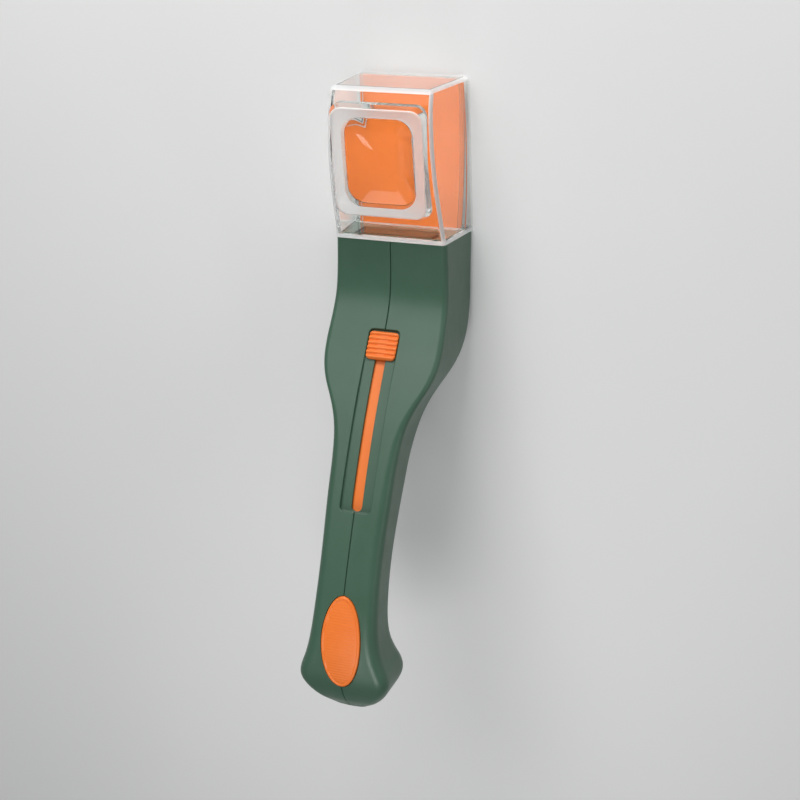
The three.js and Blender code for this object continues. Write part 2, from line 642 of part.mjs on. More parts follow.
const rivetFrame = doorFrame(-RIVET_AT[1]);
function rivetHoles() {
  const span = [-CUT_PAST, DOOR_THICKNESS + ARM_FOOT_THICKNESS + CUT_PAST];
  const hole = (side) => uprightRod(RIVET_RADIUS + GAP, span, side * RIVET_AT[0], 0, rivetFrame);
  return hole(-1).add(hole(1));
}

function doorDriveArm() {
  const footTop = doorTop - GAP - ARM_FOOT_THICKNESS;
  const foot = doorBand(
    [footTop, doorTop - GAP],
    [-ARM_FOOT[1], -ARM_FOOT[0]],
    [-ARM_FOOT_HALF, ARM_FOOT_HALF],
  );
  const path = pinPathInDoor(7);
  const thickness = [-ARM_HALF, ARM_HALF];
  const slot = barsThrough(path, DRIVE_PIN_RADIUS + RUNNING, [-ARM_HALF - 1, ARM_HALF + 1]);
  const eye = barsThrough(path, DRIVE_PIN_RADIUS + RUNNING + ARM_WEB, thickness);
  const root = new THREE.Vector2(-ARM_FOOT[1] + 2, 0);
  root.y = doorCentre.y - Math.sqrt(footTop ** 2 - (root.x - doorCentre.x) ** 2) + ARM_REACH / 2;
  const beam = bar(root, path[0], ARM_REACH, thickness);
  const underFoot = doorBand([doorTop - GAP, DOOR_RADIUS], [GROOVE_END_Y, 0], [-COLLAR_HALF, COLLAR_HALF]);
  const solid = foot
    .add(beam)
    .subtract(underFoot)
    .add(eye)
    .subtract(slot)
    .subtract(rivetHoles());
  return meshOf('door_drive_arm', solid, orangePlastic());
}

function rivet(name, side) {
  const grip = [-GAP, DOOR_THICKNESS + ARM_FOOT_THICKNESS + 2 * GAP];
  const x = side * RIVET_AT[0];
  const shank = uprightRod(RIVET_RADIUS, [grip[0] - SINK, grip[1] + SINK], x, 0, rivetFrame);
  const heads = [[grip[0] - RIVET_HEAD, grip[0]], [grip[1], grip[1] + RIVET_HEAD]].map((span) =>
    uprightRod(RIVET_HEAD_RADIUS, span, x, 0, rivetFrame),
  );
  return meshOf(name, joined([shank, ...heads]), steel());
}

// Slider
function ribbedSide() {
  const half = BUTTON_LENGTH / 2;
  const base = floorRadius - SLIDE_RADIUS + RUNNING;
  const crest = frontRadius - SLIDE_RADIUS + BUTTON_PROUD;
  const shape = new THREE.Shape();
  shape.moveTo(-half, base);
  shape.lineTo(half, base);
  const pitch = BUTTON_LENGTH / RIB_COUNT;
  const round = 0.28 * pitch;
  for (let rib = 0; rib < RIB_COUNT; rib += 1) {
    const right = half - rib * pitch;
    shape.lineTo(right, crest - RIB_DEPTH);
    shape.lineTo(right - round, crest);
    shape.lineTo(right - pitch + round, crest);
  }
  shape.lineTo(-half, crest - RIB_DEPTH);
  return sidePlate(shape, [-BUTTON_HALF, BUTTON_HALF]);
}

const sliderPlaced = (solid) => solid.transform(sliderFrame.elements);

// The screw that holds the button from below, and the hole that it goes through
const screwSpan = [carriageUnder - SLIDE_RADIUS - GAP, carriageTop - SLIDE_RADIUS + SLIDER_SCREW_REACH];
function screwBelow() {
  const [under, top] = screwSpan;
  const here = new THREE.Matrix4();
  const shank = uprightRod(SLIDER_SCREW_RADIUS, [under - SINK, top], 0, 0, here);
  const head = uprightRod(SLIDER_SCREW_HEAD_RADIUS, [under - SLIDER_SCREW_HEAD, under], 0, 0, here);
  return shank.add(head);
}
function screwHole() {
  const [under, top] = screwSpan;
  return uprightRod(SLIDER_SCREW_RADIUS + GAP, [under - LEG_EYE, top + GAP], 0, 0, new THREE.Matrix4());
}

function sliderButton() {
  const half = BUTTON_LENGTH / 2;
  const outline = roundedOutline([-BUTTON_HALF, BUTTON_HALF], [-half, half], BUTTON_CORNER);
  const cap = ribbedSide().intersect(topPlate(outline, [0, 20]));
  const stemSpan = [carriageTop - SLIDE_RADIUS + GAP, floorRadius - SLIDE_RADIUS + RUNNING + 1];
  const stemEnds = [-STEM_LENGTH / 2, STEM_LENGTH / 2];
  const stem = topPlate(roundedOutline([-STEM_HALF, STEM_HALF], stemEnds, STEM_CORNER), stemSpan);
  const solid = sliderPlaced(cap.add(stem).subtract(screwHole()));
  return meshOf('slider_button', solid, orangePlastic());
}

function slotCoverStrip() {
  const half = CARRIAGE_LENGTH / 2;
  const radii = [stripUnder, SLIDE_RADIUS];
  const head = slideBand(radii, [-half, half], [-CARRIAGE_HALF, CARRIAGE_HALF]);
  const tail = slideBand(radii, [0, STRIP_TAIL], [-STRIP_HALF, STRIP_HALF]);
  const hole = block(
    [-STEM_HALF - GAP, STEM_HALF + GAP],
    [-STEM_LENGTH / 2 - GAP, STEM_LENGTH / 2 + GAP],
    [-CUT_PAST, CUT_PAST],
  );
  return meshOf('slot_cover_strip', head.add(tail).subtract(sliderPlaced(hole)), orangePlastic());
}

function sliderCarriage() {
  const half = CARRIAGE_LENGTH / 2;
  const width = [-CARRIAGE_HALF, CARRIAGE_HALF];
  const plate = slideBand([carriageUnder, carriageTop], [-half, half], width);
  const pin = new THREE.Vector2(...DRIVE_PIN_AT);
  const inSlider = new THREE.Vector3(0, pin.x, pin.y).applyMatrix4(sliderFrame.clone().invert());
  const under = carriageUnder - SLIDE_RADIUS;
  const leg = new THREE.Shape();
  leg.moveTo(half - 2, under + 1);
  leg.lineTo(2 - half, under + 1);
  leg.lineTo(2 - half, under - 2);
  leg.lineTo(inSlider.y - LEG_EYE, inSlider.z);
  leg.absarc(inSlider.y, inSlider.z, LEG_EYE, Math.PI, 2 * Math.PI);
  leg.lineTo(half - 2, under - 2);
  const legs = [[-legOuter, -legInner], [legInner, legOuter]].map((xs) => sliderPlaced(sidePlate(leg, xs)));
  const solid = joined([plate, ...legs])
    .subtract(crossRod(DRIVE_PIN_RADIUS + GAP, [-legOuter - 1, legOuter + 1], DRIVE_PIN_AT, SMALL_SIDES))
    .subtract(sliderPlaced(screwHole()));
  return meshOf('slider_carriage', solid, orangePlastic());
}

const sliderScrew = () => meshOf('slider_screw', sliderPlaced(screwBelow()), steel());

const drivePin = () =>
  meshOf('drive_pin', crossRod(DRIVE_PIN_RADIUS, [-legOuter, legOuter], DRIVE_PIN_AT, SMALL_SIDES), steel());

// Oval grip
function ovalColumn(grow, zs) {
  const shape = new THREE.Shape();
  shape.absellipse(0, OVAL_CENTRE_Y, OVAL_HALF_WIDTH + grow, OVAL_HALF_LENGTH + grow, 0, 2 * Math.PI);
  const options = { depth: zs[1] - zs[0], bevelEnabled: false, curveSegments: 22 };
  const geometry = new THREE.ExtrudeGeometry(shape, options);
  geometry.translate(0, 0, zs[0]);
  return solidOf(geometry);
}
const ovalEnds = [
  OVAL_CENTRE_Y + OVAL_HALF_LENGTH + 4,
  Math.max(OVAL_CENTRE_Y - OVAL_HALF_LENGTH - 4, BUTT_Y + 1),
];
const ovalHeights = [frontZ(ovalEnds[0]) - CUT_ABOVE, frontZ(OVAL_CENTRE_Y) + CUT_ABOVE];
const ovalLayer = (grow, above, below) =>
  ovalColumn(grow, ovalHeights)
    .intersect(handleSolid(above, ...ovalEnds))
    .subtract(handleSolid(below, ...ovalEnds));
const ovalPegs = (grow) => {
  const top = frontZ(OVAL_CENTRE_Y) - OVAL_SUNK + 2 * SINK;
  const span = [top - OVAL_PEG_LENGTH, top];
  const here = new THREE.Matrix4().makeTranslation(0, OVAL_CENTRE_Y, 0);
  return joined([-1, 1].map((side) => uprightRod(OVAL_PEG_RADIUS + grow, span, side * OVAL_PEG_X, 0, here)));
};

function ovalGrip() {
  return meshOf('oval_grip', ovalLayer(0, OVAL_PROUD, -OVAL_SUNK).add(ovalPegs(0)), orangePlastic());
}

// Screws
function handleScrew(name, at) {
  const head = crossRod(SCREW_HEAD_RADIUS, [SCREW_SEAT_X - SCREW_HEAD - GAP, SCREW_SEAT_X - GAP], at);
  const shankSpan = [SCREW_SEAT_X - GAP - SINK, SCREW_SEAT_X + SCREW_LENGTH];
  const shank = crossRod(SCREW_RADIUS, shankSpan, at, SMALL_SIDES);
  const [y, z] = at;
  const face = SCREW_SEAT_X - SCREW_HEAD - GAP;
  const cut = [face - 1, face + DRIVE_SLOT_DEPTH];
  const [narrow, long] = DRIVE_SLOT;
  const cross = block(cut, [y - narrow, y + narrow], [z - long, z + long])
    .add(block(cut, [y - long, y + long], [z - narrow, z + narrow]));
  return meshOf(name, head.subtract(cross).add(shank), steel());
}

// Handle shells
function handleBody() {
  const end = JOINT_Y - GAP;
  const outside = handleSolid(0, end, BUTT_Y);
  const inside = handleSolid(-HANDLE_WALL, end - BULKHEAD, BUTT_Y + HANDLE_WALL, INNER_STEP);
  const midWall = handleSolid(-HANDLE_WALL / 2, end, BUTT_Y + 1, INNER_STEP);
  const widest = MOUTH_HALF_NEAR + CUT_PAST;
  const half = CARRIAGE_LENGTH / 2;
  const railSpan = [-half - RUNNING, SLIDE_TRAVEL + half + RUNNING];
  const deck = slideBand([wallUnder, floorRadius + DECK_RISE], railSpan, [-railOuter, railOuter]);
  const rails = [-1, 1].flatMap((side) => {
    const lipXs = [side * railInner, side * railOuter].sort((a, b) => a - b);
    const webXs = [side * (railOuter - RAIL_WIDTH), side * railOuter].sort((a, b) => a - b);
    const lipTop = carriageUnder - RUNNING;
    return [
      slideBand([lipTop - LEDGE, lipTop], railSpan, lipXs),
      slideBand([lipTop - LEDGE, floorRadius + DECK_RISE], railSpan, webXs),
    ];
  });
  const reach = DOOR_HALF_WIDTH - GROOVE_OVERLAP;
  const doorSpan = [GROOVE_END_Y, end - RUNNING];
  const ledges = [-1, 1].flatMap((side) => {
    const xs = [side * reach, side * widest].sort((a, b) => a - b);
    return [
      doorBand([doorTop - RUNNING - LEDGE, doorTop - RUNNING], doorSpan, xs),
      doorBand([DOOR_RADIUS + RUNNING, DOOR_RADIUS + RUNNING + LEDGE], doorSpan, xs),
    ];
  });
  const seat = ovalLayer(OVAL_SEAT_WALL, -2 * GAP, -OVAL_SUNK - GAP - OVAL_SEAT_WALL);
  const seatPegs = ovalPegs(GAP + OVAL_SEAT_WALL);
  const bosses = SCREWS_AT.map((at) => crossRod(bossRadius, [-widest, widest], at));
  const inner = joined([deck, ...rails, ...ledges, seatPegs, ...bosses]).intersect(midWall).add(seat);
  return outside.subtract(inside).add(inner).subtract(handleCuts());
}
const bossRadius = SCREW_HEAD_RADIUS + RUNNING + BOSS_WALL;

// A groove along the arc with rounded ends, from the closed slider over the travel
function slideGroove(half, length, corner, radii, travel) {
  const outline = roundedOutline([-half, half], [-length / 2, length / 2], corner);
  const column = topPlate(outline, [radii[0] - SLIDE_RADIUS - 2, radii[1] - SLIDE_RADIUS]);
  const end = column.transform(sliderFrame.elements);
  const away = new THREE.Matrix4()
    .makeTranslation(0, slideCentre.x, slideCentre.y)
    .multiply(new THREE.Matrix4().makeRotationX((SLIDE_TURN * travel) / SLIDE_TRAVEL))
    .multiply(new THREE.Matrix4().makeTranslation(0, -slideCentre.x, -slideCentre.y));
  const middle = slideBand(radii, [0, travel], [-half, half]);
  const reach = slideBand(radii, [-length, travel + length], [-half, half]);
  return middle.add(end.add(end.transform(away.elements)).intersect(reach));
}

function handleCuts() {
  const recess = slideGroove(
    recessHalf,
    BUTTON_LENGTH + 2 * BUTTON_END_CLEAR,
    BUTTON_CORNER,
    [floorRadius, floorRadius + CUT_ABOVE],
    SLIDE_TRAVEL,
  );
  const slot = slideGroove(
    slotHalf,
    STEM_LENGTH + 2 * RUNNING,
    STEM_CORNER + RUNNING,
    [SLIDE_RADIUS - 2, floorRadius + 2],
    SLIDE_TRAVEL + (BUTTON_LENGTH - STEM_LENGTH) / 2,
  );
  const ovalSeat = ovalLayer(GAP, OVAL_PROUD + 1, -OVAL_SUNK - GAP);
  const window = block(
    [-COLLAR_HALF - GAP, COLLAR_HALF + GAP],
    [JOINT_Y - BULKHEAD - 2 * GAP, 1],
    [COLLAR_LOW - GAP, COLLAR_HIGH + GAP],
  );
  const doorway = doorBand(
    [doorTop - RUNNING, DOOR_RADIUS + RUNNING],
    [GROOVE_END_Y, CHAMBER_WALL],
    [-DOOR_HALF_WIDTH - RUNNING, DOOR_HALF_WIDTH + RUNNING],
  );
  return joined([recess, slot, ovalSeat, ovalPegs(GAP), window, doorway]);
}

function handleShells() {
  const body = handleBody();
  const parting = GAP / 2;
  const all = [-BEYOND, BEYOND];
  const leftSide = block([-BEYOND, -parting], all, all);
  const rightSide = block([parting, BEYOND], all, all);
  const passages = SCREWS_AT.flatMap((at) => [
    crossRod(SCREW_RADIUS + GAP, [SCREW_SEAT_X - 1, 1], at, SMALL_SIDES),
    crossRod(SCREW_HEAD_RADIUS + RUNNING, [-2 * MOUTH_HALF_NEAR, SCREW_SEAT_X], at),
  ]);
  const pilots = SCREWS_AT.map((at) =>
    crossRod(SCREW_RADIUS + GAP, [-1, SCREW_SEAT_X + SCREW_LENGTH + GAP], at, SMALL_SIDES),
  );
  const left = body.intersect(leftSide).subtract(joined(passages));
  const right = body.intersect(rightSide).subtract(joined(pilots));
  return [
    meshOf('handle_left_shell', left, greenPlastic()),
    meshOf('handle_right_shell', right, greenPlastic()),
  ];
}

// Assembly
function group(...parts) {
  const made = new THREE.Group();
  made.add(...parts);
  return made;
}

const handle = group(
  ...handleShells(),
  viewingChamber(),
  magnifierLens(),
  mouthFrame(),
  ovalGrip(),
  ...SCREWS_AT.map((at, i) => handleScrew(`handle_screw_${i + 1}`, at)),
);
const slider = group(sliderButton(), slotCoverStrip(), sliderCarriage(), sliderScrew(), drivePin());
const door = group(doorPanel(), doorDriveArm(), rivet('door_arm_rivet_1', -1), rivet('door_arm_rivet_2', 1));

const bugViewer = group(handle, slider, door);
bugViewer.position.y = -(CHAMBER_LENGTH + BUTT_Y) / 2;

export default bugViewer;
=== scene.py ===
import math

import bmesh
import bpy
import numpy as np
from mathutils import Matrix, Vector


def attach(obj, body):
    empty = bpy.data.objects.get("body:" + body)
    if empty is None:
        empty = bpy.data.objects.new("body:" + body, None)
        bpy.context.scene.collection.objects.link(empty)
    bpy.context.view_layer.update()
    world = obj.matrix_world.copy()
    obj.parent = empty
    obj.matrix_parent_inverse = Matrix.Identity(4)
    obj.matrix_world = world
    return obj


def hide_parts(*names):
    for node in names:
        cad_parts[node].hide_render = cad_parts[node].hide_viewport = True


# Bug viewer. Pieces are worked out in millimetres, with X from the seam, Y towards the chamber's far end and Z from
# the chamber's rim, and are moved into the row frame when a mesh is made. Y = 0 lies 2 mm into the chamber.
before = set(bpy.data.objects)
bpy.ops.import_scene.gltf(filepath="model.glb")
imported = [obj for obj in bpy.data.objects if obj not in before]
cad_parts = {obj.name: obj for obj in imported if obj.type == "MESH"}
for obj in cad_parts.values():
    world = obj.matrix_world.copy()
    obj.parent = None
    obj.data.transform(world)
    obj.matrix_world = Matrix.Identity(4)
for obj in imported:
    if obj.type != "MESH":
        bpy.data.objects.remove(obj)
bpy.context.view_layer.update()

ORIGIN_Y = 73.1  # the place of Y = 0 in the row frame
GAP = 0.3  # between pieces that are fixed together
RUNNING = 0.4  # between pieces that run on each other
PAST = 1  # how far a cutting shape goes past a face
BEYOND = 60  # past everything sideways, and above the door

# ---- meshes

SAME_PLACE = 2e-6  # metres
NO_LENGTH = 1e-6
SHARP_ANGLE = 32  # degrees
LARGE_FACE_WEIGHT = 80


def new_object(name, data):
    obj = bpy.data.objects.new(name, data)
    bpy.context.scene.collection.objects.link(obj)
    return obj


def drop_slivers(work):
    bmesh.ops.remove_doubles(work, verts=work.verts, dist=SAME_PLACE)
    bmesh.ops.dissolve_degenerate(work, edges=work.edges, dist=NO_LENGTH)


def mesh_object(name, points, faces):
    """A closed mesh from points in millimetres, facing out."""
    row = (np.asarray(points, float) + (0, ORIGIN_Y, 0)) * 0.001
    mesh = bpy.data.meshes.new(name)
    mesh.from_pydata(row.tolist(), [], faces)
    work = bmesh.new()
    work.from_mesh(mesh)
    drop_slivers(work)
    bmesh.ops.recalc_face_normals(work, faces=work.faces)
    if work.calc_volume(signed=True) < 0:
        bmesh.ops.reverse_faces(work, faces=work.faces)
    work.to_mesh(mesh)
    work.free()
    return new_object(name, mesh)


def loft(name, rings, strip_caps=False):
    """Rings of points, skinned one after the other. A cap is one flat face, or strips across a mirrored ring."""
    rings = np.asarray(rings, float)
    count, sides = rings.shape[:2]
    index = np.arange(count * sides).reshape(count, sides)
    after = np.roll(index, -1, 1)
    quads = np.stack([index[:-1], after[:-1], after[1:], index[1:]], -1).reshape(-1, 4).tolist()
    for ring in (index[0], index[-1][::-1]):
        if strip_caps:
            half = sides // 2
            for i in range(half - 1):
                quads.append([int(ring[k]) for k in (i, i + 1, sides - 2 - i, sides - 1 - i)])
        else:
            quads.append([int(k) for k in ring])
    return mesh_object(name, rings.reshape(-1, 3), quads)


def rectangle(xs, ys):
    return [(xs[0], ys[0]), (xs[1], ys[0]), (xs[1], ys[1]), (xs[0], ys[1])]


def both(half):
    return -half, half


def block(name, xs, ys, zs):
    return loft(name, [[(x, y, z) for x, y in rectangle(xs, ys)] for z in zs])


def spread(x, y, z):
    """Points from their X, Y and Z, where one number stands for all."""
    return np.stack(np.broadcast_arrays(np.asarray(x, float), y, z), -1)


def full_turn(sides):
    return np.linspace(0, 2 * math.pi, sides, endpoint=False)


def quarter_turn(steps):
    return np.linspace(0, math.pi / 2, steps)


def rounding(steps):
    """How far a rounded edge lies back from its two faces, for a radius of 1."""
    return [(1 - math.cos(turn), 1 - math.sin(turn)) for turn in quarter_turn(steps)]


def turned(x, y, radius, turns):
    """Points round a centre, at the given angles."""
    return [(x + radius * math.cos(turn), y + radius * math.sin(turn)) for turn in turns]


def rounded_corners(centres, radius, steps):
    """Quarter turns round centres that are given as X, Y and the number of the quarter."""
    outline = []
    for x, y, number in centres:
        outline += turned(x, y, radius, np.linspace(number, number + 1, steps) * math.pi / 2)
    return outline


def rounded_rectangle(half, radius, steps=8):
    x, y = half[0] - radius, half[1] - radius
    return rounded_corners([(x, y, 0), (-x, y, 1), (-x, -y, 2), (x, -y, 3)], radius, steps)


def both_sides(right):
    return right + [(-x, z) for x, z in reversed(right)]


def tilted(points, angle, at):
    """Points turned about X and moved to a place in Y and Z."""
    x, y, z = np.asarray(points, float).T
    c, s = math.cos(angle), math.sin(angle)
    return np.stack([x, at[0] + c * y - s * z, at[1] + s * y + c * z], 1)


def cross_rod(name, radius, xs, at, sides=40):
    """A round rod along X."""
    turn = full_turn(sides)
    return loft(name, [spread(x, at[0] + radius * np.cos(turn), at[1] + radius * np.sin(turn)) for x in xs])


def combine(obj, operation, *others):
    """Adds, cuts away or keeps in common, and removes the other objects."""
    for other in others:
        step = obj.modifiers.new("step", "BOOLEAN")
        step.operation = operation
        step.solver = "MANIFOLD"
        step.object = other
        made = bpy.data.meshes.new_from_object(obj.evaluated_get(bpy.context.evaluated_depsgraph_get()))
        obj.modifiers.clear()
        obj.data = made
        bpy.data.objects.remove(other)
    return obj


def cut(obj, *others):
    return combine(obj, "DIFFERENCE", *others)


def joined(obj, *others):
    return combine(obj, "UNION", *others)


def common(obj, *others):
    return combine(obj, "INTERSECT", *others)


def tidied(obj):
    """The mesh without the slivers that cutting leaves."""
    work = bmesh.new()
    work.from_mesh(obj.data)
    drop_slivers(work)
    work.to_mesh(obj.data)
    work.free()
    return obj


def smooth(obj, degrees):
    """Smooth shading up to an angle, with the large faces setting the normals."""
    obj.data.shade_smooth()
    obj.data.set_sharp_from_angle(angle=math.radians(degrees))
    weigh = obj.modifiers.new("weigh", "WEIGHTED_NORMAL")
    weigh.keep_sharp = True
    weigh.weight = LARGE_FACE_WEIGHT


def mirrored(obj, name):
    mesh = obj.data.copy()
    mesh.transform(Matrix.Scale(-1, 4, (1, 0, 0)))
    mesh.flip_normals()
    return new_object(name, mesh)


# ---- the handle's lines

BUTT_Y = -216.8
BUTT_ROUND_Y = -198.0  # past this, places along the handle are spaced by angle so that the butt closes smoothly
BUTT_DEPTH = BUTT_ROUND_Y - BUTT_Y
FRONT_LINE = [(0, 32.5), (-18, 32.2), (-29, 33.3), (-36, 36.1), (-42, 39.7), (-49, 43.9), (-56, 48.6),
              (-74, 60.3), (-93, 70.6), (-107, 77.6), (-121, 84), (-133, 89.1), (-143, 93.2), (-153, 97),
              (-164, 100.6), (-175, 103.2), (-187, 104.3), (-199, 103.4), (-209, 98.4), (-214, 93.6), (-216.8, 90)]
BACK_LINE = [(0, 0), (-30, 0), (-38, 0.8), (-48, 4.5), (-58, 10.8), (-68, 18.6), (-78, 27.2), (-88, 35.4),
             (-98, 43), (-110, 50.2), (-122, 56.5), (-138, 64.4), (-158, 72.5), (-172, 77), (-180, 77.8),
             (-187, 76), (-194, 74.2), (-201, 75), (-208, 79), (-213, 83.2), (-216.8, 87.4)]
HALF_WIDTH_LINE = [(0, 27.4), (-23, 28), (-40, 28.7), (-52, 29.2), (-59, 28.4), (-65, 26.4), (-74, 21.4),
                   (-83, 18), (-98, 16.2), (-112, 15.9), (-130, 15.4), (-146, 15.2), (-164, 15.8), (-177, 17.1),
                   (-186, 19.2), (-193, 21.8), (-198, 22.4), (-204, 20), (-211, 14.2), (-214.6, 9.4), (-216.8, 4)]
BACK_FLARE_LINE = [(0, 2.4), (-50, 1.2), (-85, 0), (-216.8, 0)]
FRONT_ROUND_LINE = [(0, 2.4), (-60, 3), (-100, 4.5), (-180, 5.5), (-205, 5), (-216.8, 1)]
BACK_ROUND_LINE = [(0, 2.4), (-45, 5), (-100, 8), (-180, 8), (-205, 6), (-216.8, 1)]
LEAST_ROUND = 0.3
MOST_ROUND = 0.46  # of the section's height or width
LEAST_FLAT = 0.5
FRONT_CROWN = 0.55
OVAL_HALF_WIDTH = 9.7
LINE_STEP = 0.25
SOFTENING = (3.0, 1.2)  # of the lines along the handle, and at the butt
BUTT_SOFTENED = (180, 15)  # where the second takes over, and over what length
FINE = (14, 12, 8, 12, 8)  # points on a half section's crest, corner, side, heel and sole
COARSE = (6, 5, 4, 5, 4)
SEAM_STEPS = np.array([0, 0.12, 0.35, 0.65, 1])  # shares of the rounded edge at the seam
SEAM_DEPTH = 0.7  # of the rounded groove along the seam


def reach_of(y):
    """Distance along the handle, which runs by angle at the butt."""
    if y >= BUTT_ROUND_Y:
        return -y
    return -BUTT_ROUND_Y + BUTT_DEPTH * math.asin(min(1.0, (BUTT_ROUND_Y - y) / BUTT_DEPTH))


def y_of(reach):
    past = np.clip((np.asarray(reach, float) + BUTT_ROUND_Y) / BUTT_DEPTH, 0, math.pi / 2)
    return np.where(past > 0, BUTT_ROUND_Y - BUTT_DEPTH * np.sin(past), -np.asarray(reach, float))


BUTT_REACH = reach_of(BUTT_Y)


def cubic(xs, values, at):
    """The cubic line through the points, with the slopes that the solids use."""
    i = np.clip(np.searchsorted(xs, at, side="right"), 1, len(xs) - 1)
    t0, t1, v0, v1 = xs[i - 1], xs[i], values[i - 1], values[i]
    first, last = i == 1, i == len(xs) - 1
    before = np.where(first, t1, xs[np.maximum(i - 2, 0)])
    value_before = np.where(first, v1, values[np.maximum(i - 2, 0)])
    after = np.where(last, t0, xs[np.minimum(i + 1, len(xs) - 1)])
    value_after = np.where(last, v0, values[np.minimum(i + 1, len(xs) - 1)])
    half = (t1 - t0) / 2
    wp, wn, p = half / (t0 - before), half / (after - t1), (at - t0) / (t1 - t0)
    return (
        (-wp * p**3 + 2 * wp * p**2 - wp * p) * value_before
        + ((1 + wp) * p**3 + (-1.5 - 2 * wp) * p**2 + (-0.5 + wp) * p + 1) * v0
        + ((-1 - wn) * p**3 + (1.5 + wn) * p**2 + 0.5 * p) * v1
        + (wn * p**3 - wn * p**2) * value_after
    )


def softened(values, width):
    """A Gaussian average over four widths each way that keeps the end values."""
    size = int(4 * width / LINE_STEP)
    weights = np.exp(-0.5 * (np.arange(-size, size + 1) * LINE_STEP / width) ** 2)
    low, high = 2 * values[0] - values[size:0:-1], 2 * values[-1] - values[-2 : -size - 2 : -1]
    return np.convolve(np.concatenate([low, values, high]), weights / weights.sum(), "valid")


def line_through(points, spaced=reach_of, end=BUTT_REACH, softening=SOFTENING):
    points = sorted((spaced(a), b) for a, b in points)
    xs, values = np.array(points, float).T
    grid = np.arange(0, end + LINE_STEP, LINE_STEP)
    raw = cubic(xs, values, np.minimum(grid, xs[-1]))
    share = np.clip((grid - BUTT_SOFTENED[0]) / BUTT_SOFTENED[1], 0, 1)
    line = softened(raw, softening[0]) * (1 - share) + softened(raw, softening[1]) * share
    return lambda at: np.interp(at, grid, line)


front_line = line_through(FRONT_LINE)
back_raw = line_through(BACK_LINE)
half_width = line_through(HALF_WIDTH_LINE)
back_flare = line_through(BACK_FLARE_LINE)
front_round = line_through(FRONT_ROUND_LINE)
back_round = line_through(BACK_ROUND_LINE)


def back_line(reach):
    return np.maximum(0, back_raw(reach))


def slant(line, reach):
    """How much longer the line is than its reach, taken over a millimetre."""
    inside = np.clip(reach, 0.5, -BUTT_ROUND_Y)
    return np.hypot(1, line(inside + 0.5) - line(inside - 0.5))


def handle_shape(reach, offset):
    """Top, bottom, half widths at the front and back, and corner radii of the handle's section."""
    top = front_line(reach) + offset * slant(front_line, reach)
    bottom = back_line(reach) - offset * slant(back_line, reach)
    wide = half_width(reach) + offset
    low = wide + back_flare(reach)
    most = min(MOST_ROUND * (top - bottom), 2 * MOST_ROUND * wide)
    rounds = [min(max(line(reach) + offset, LEAST_ROUND), most) for line in (front_round, back_round)]
    return top, bottom, wide, low, *rounds


def crown(x, wide, top_round):
    """How far the front stands over its edges, most at the seam."""
    flat = np.maximum(wide - top_round, LEAST_FLAT)
    return FRONT_CROWN * (1 - np.clip(np.abs(x) / flat, 0, 1) ** 2) ** 2 * np.minimum(1, wide / OVAL_HALF_WIDTH)


def half_ring(reach, offset, seam, counts, seam_edge):
    """The right half of the section, from the seam over the front and side to the seam at the back."""
    top, bottom, wide, low, top_round, bottom_round = handle_shape(reach, offset)
    crest, corner, side, heel, sole = counts
    over = np.linspace(seam + seam_edge, wide - top_round, crest, endpoint=False)
    under = np.linspace(low - bottom_round, seam + seam_edge, sole + 1)[1:]
    if seam_edge:
        rounded = seam + seam_edge * SEAM_STEPS
        over = np.concatenate([rounded[:-1], over])
        under = np.concatenate([under[:-1], rounded[::-1]])
    high_z, low_z = top - top_round, bottom + bottom_round
    points = [(x, top + crown(x, wide, top_round)) for x in over]
    points += turned(wide - top_round, high_z, top_round, np.linspace(math.pi / 2, 0, corner))
    for share in np.linspace(0, 1, side + 2)[1:-1]:
        points.append((wide + (low - wide) * share, high_z + (low_z - high_z) * share))
    points += turned(low - bottom_round, low_z, bottom_round, np.linspace(0, -math.pi / 2, heel))
    points += [(x, bottom) for x in under]
    ring = np.array([(x, float(y_of(reach)), z) for x, z in points])
    if seam_edge:
        fall = SEAM_DEPTH * np.clip(1 - (ring[:, 0] - seam) / seam_edge, 0, 1) ** 2
        ring[:, 2] += np.where(ring[:, 2] > (top + bottom) / 2, -fall, fall)
    return ring


def half_handle(name, offset, ys, step, seam, counts=FINE, seam_edge=0.0):
    """The handle's right half between two Y, grown by an offset, with rings about a step apart."""
    ends = [reach_of(y) for y in ys]
    places = np.linspace(*ends, max(2, round((ends[1] - ends[0]) / step)))
    return loft(name, [half_ring(place, offset, seam, counts, seam_edge) for place in places])


def front_surface(x, y):
    """Height of the handle's front over the rim, at places given by X and Y."""
    reach = np.vectorize(reach_of)(y)
    top, wide, radius = front_line(reach), half_width(reach), front_round(reach)
    return top + crown(x, wide, radius)


# ---- the slider's and the door's arcs

SLIDE_RADIUS = 360.0  # of the strip's outer face
SLIDE_CENTRE = (-255.9759, -253.5387)
CLOSED_ANGLE = math.radians(55.3125)
SLIDE_TRAVEL = 71.0
WALL_UNDER = 360.3  # radius of the wall's inside under the recess
FLOOR_RADIUS = 361.5  # of the recess floor
FRONT_RADIUS = 362.302  # of the handle's front, nearly
BUTTON_HALF = 7.3
BUTTON_LENGTH = 13.8
BUTTON_CORNER = 2.2
STEM_HALF = 2.2
STEM_LENGTH = 11.4
STEM_CORNER = 1.9
FROM_SEAM = 0.02  # the least X of a cutter's outline
DOOR_RADIUS = 210.0  # of the door's lower face
DOOR_CENTRE = (38.0, 211.6)
DOOR_TOP = 208.6  # radius of the door's upper face
DOOR_HALF_WIDTH = 25.0
DOORWAY_RADII = (DOOR_TOP - RUNNING, DOOR_RADIUS + RUNNING)
DOORWAY_HALF = DOOR_HALF_WIDTH + RUNNING


def on_slide(x, along, radius):
    """Points given by X, distance along the arc from the closed slider's middle, and radius."""
    angle = CLOSED_ANGLE + np.asarray(along, float) / SLIDE_RADIUS
    return spread(x, SLIDE_CENTRE[0] + radius * np.cos(angle), SLIDE_CENTRE[1] + radius * np.sin(angle))


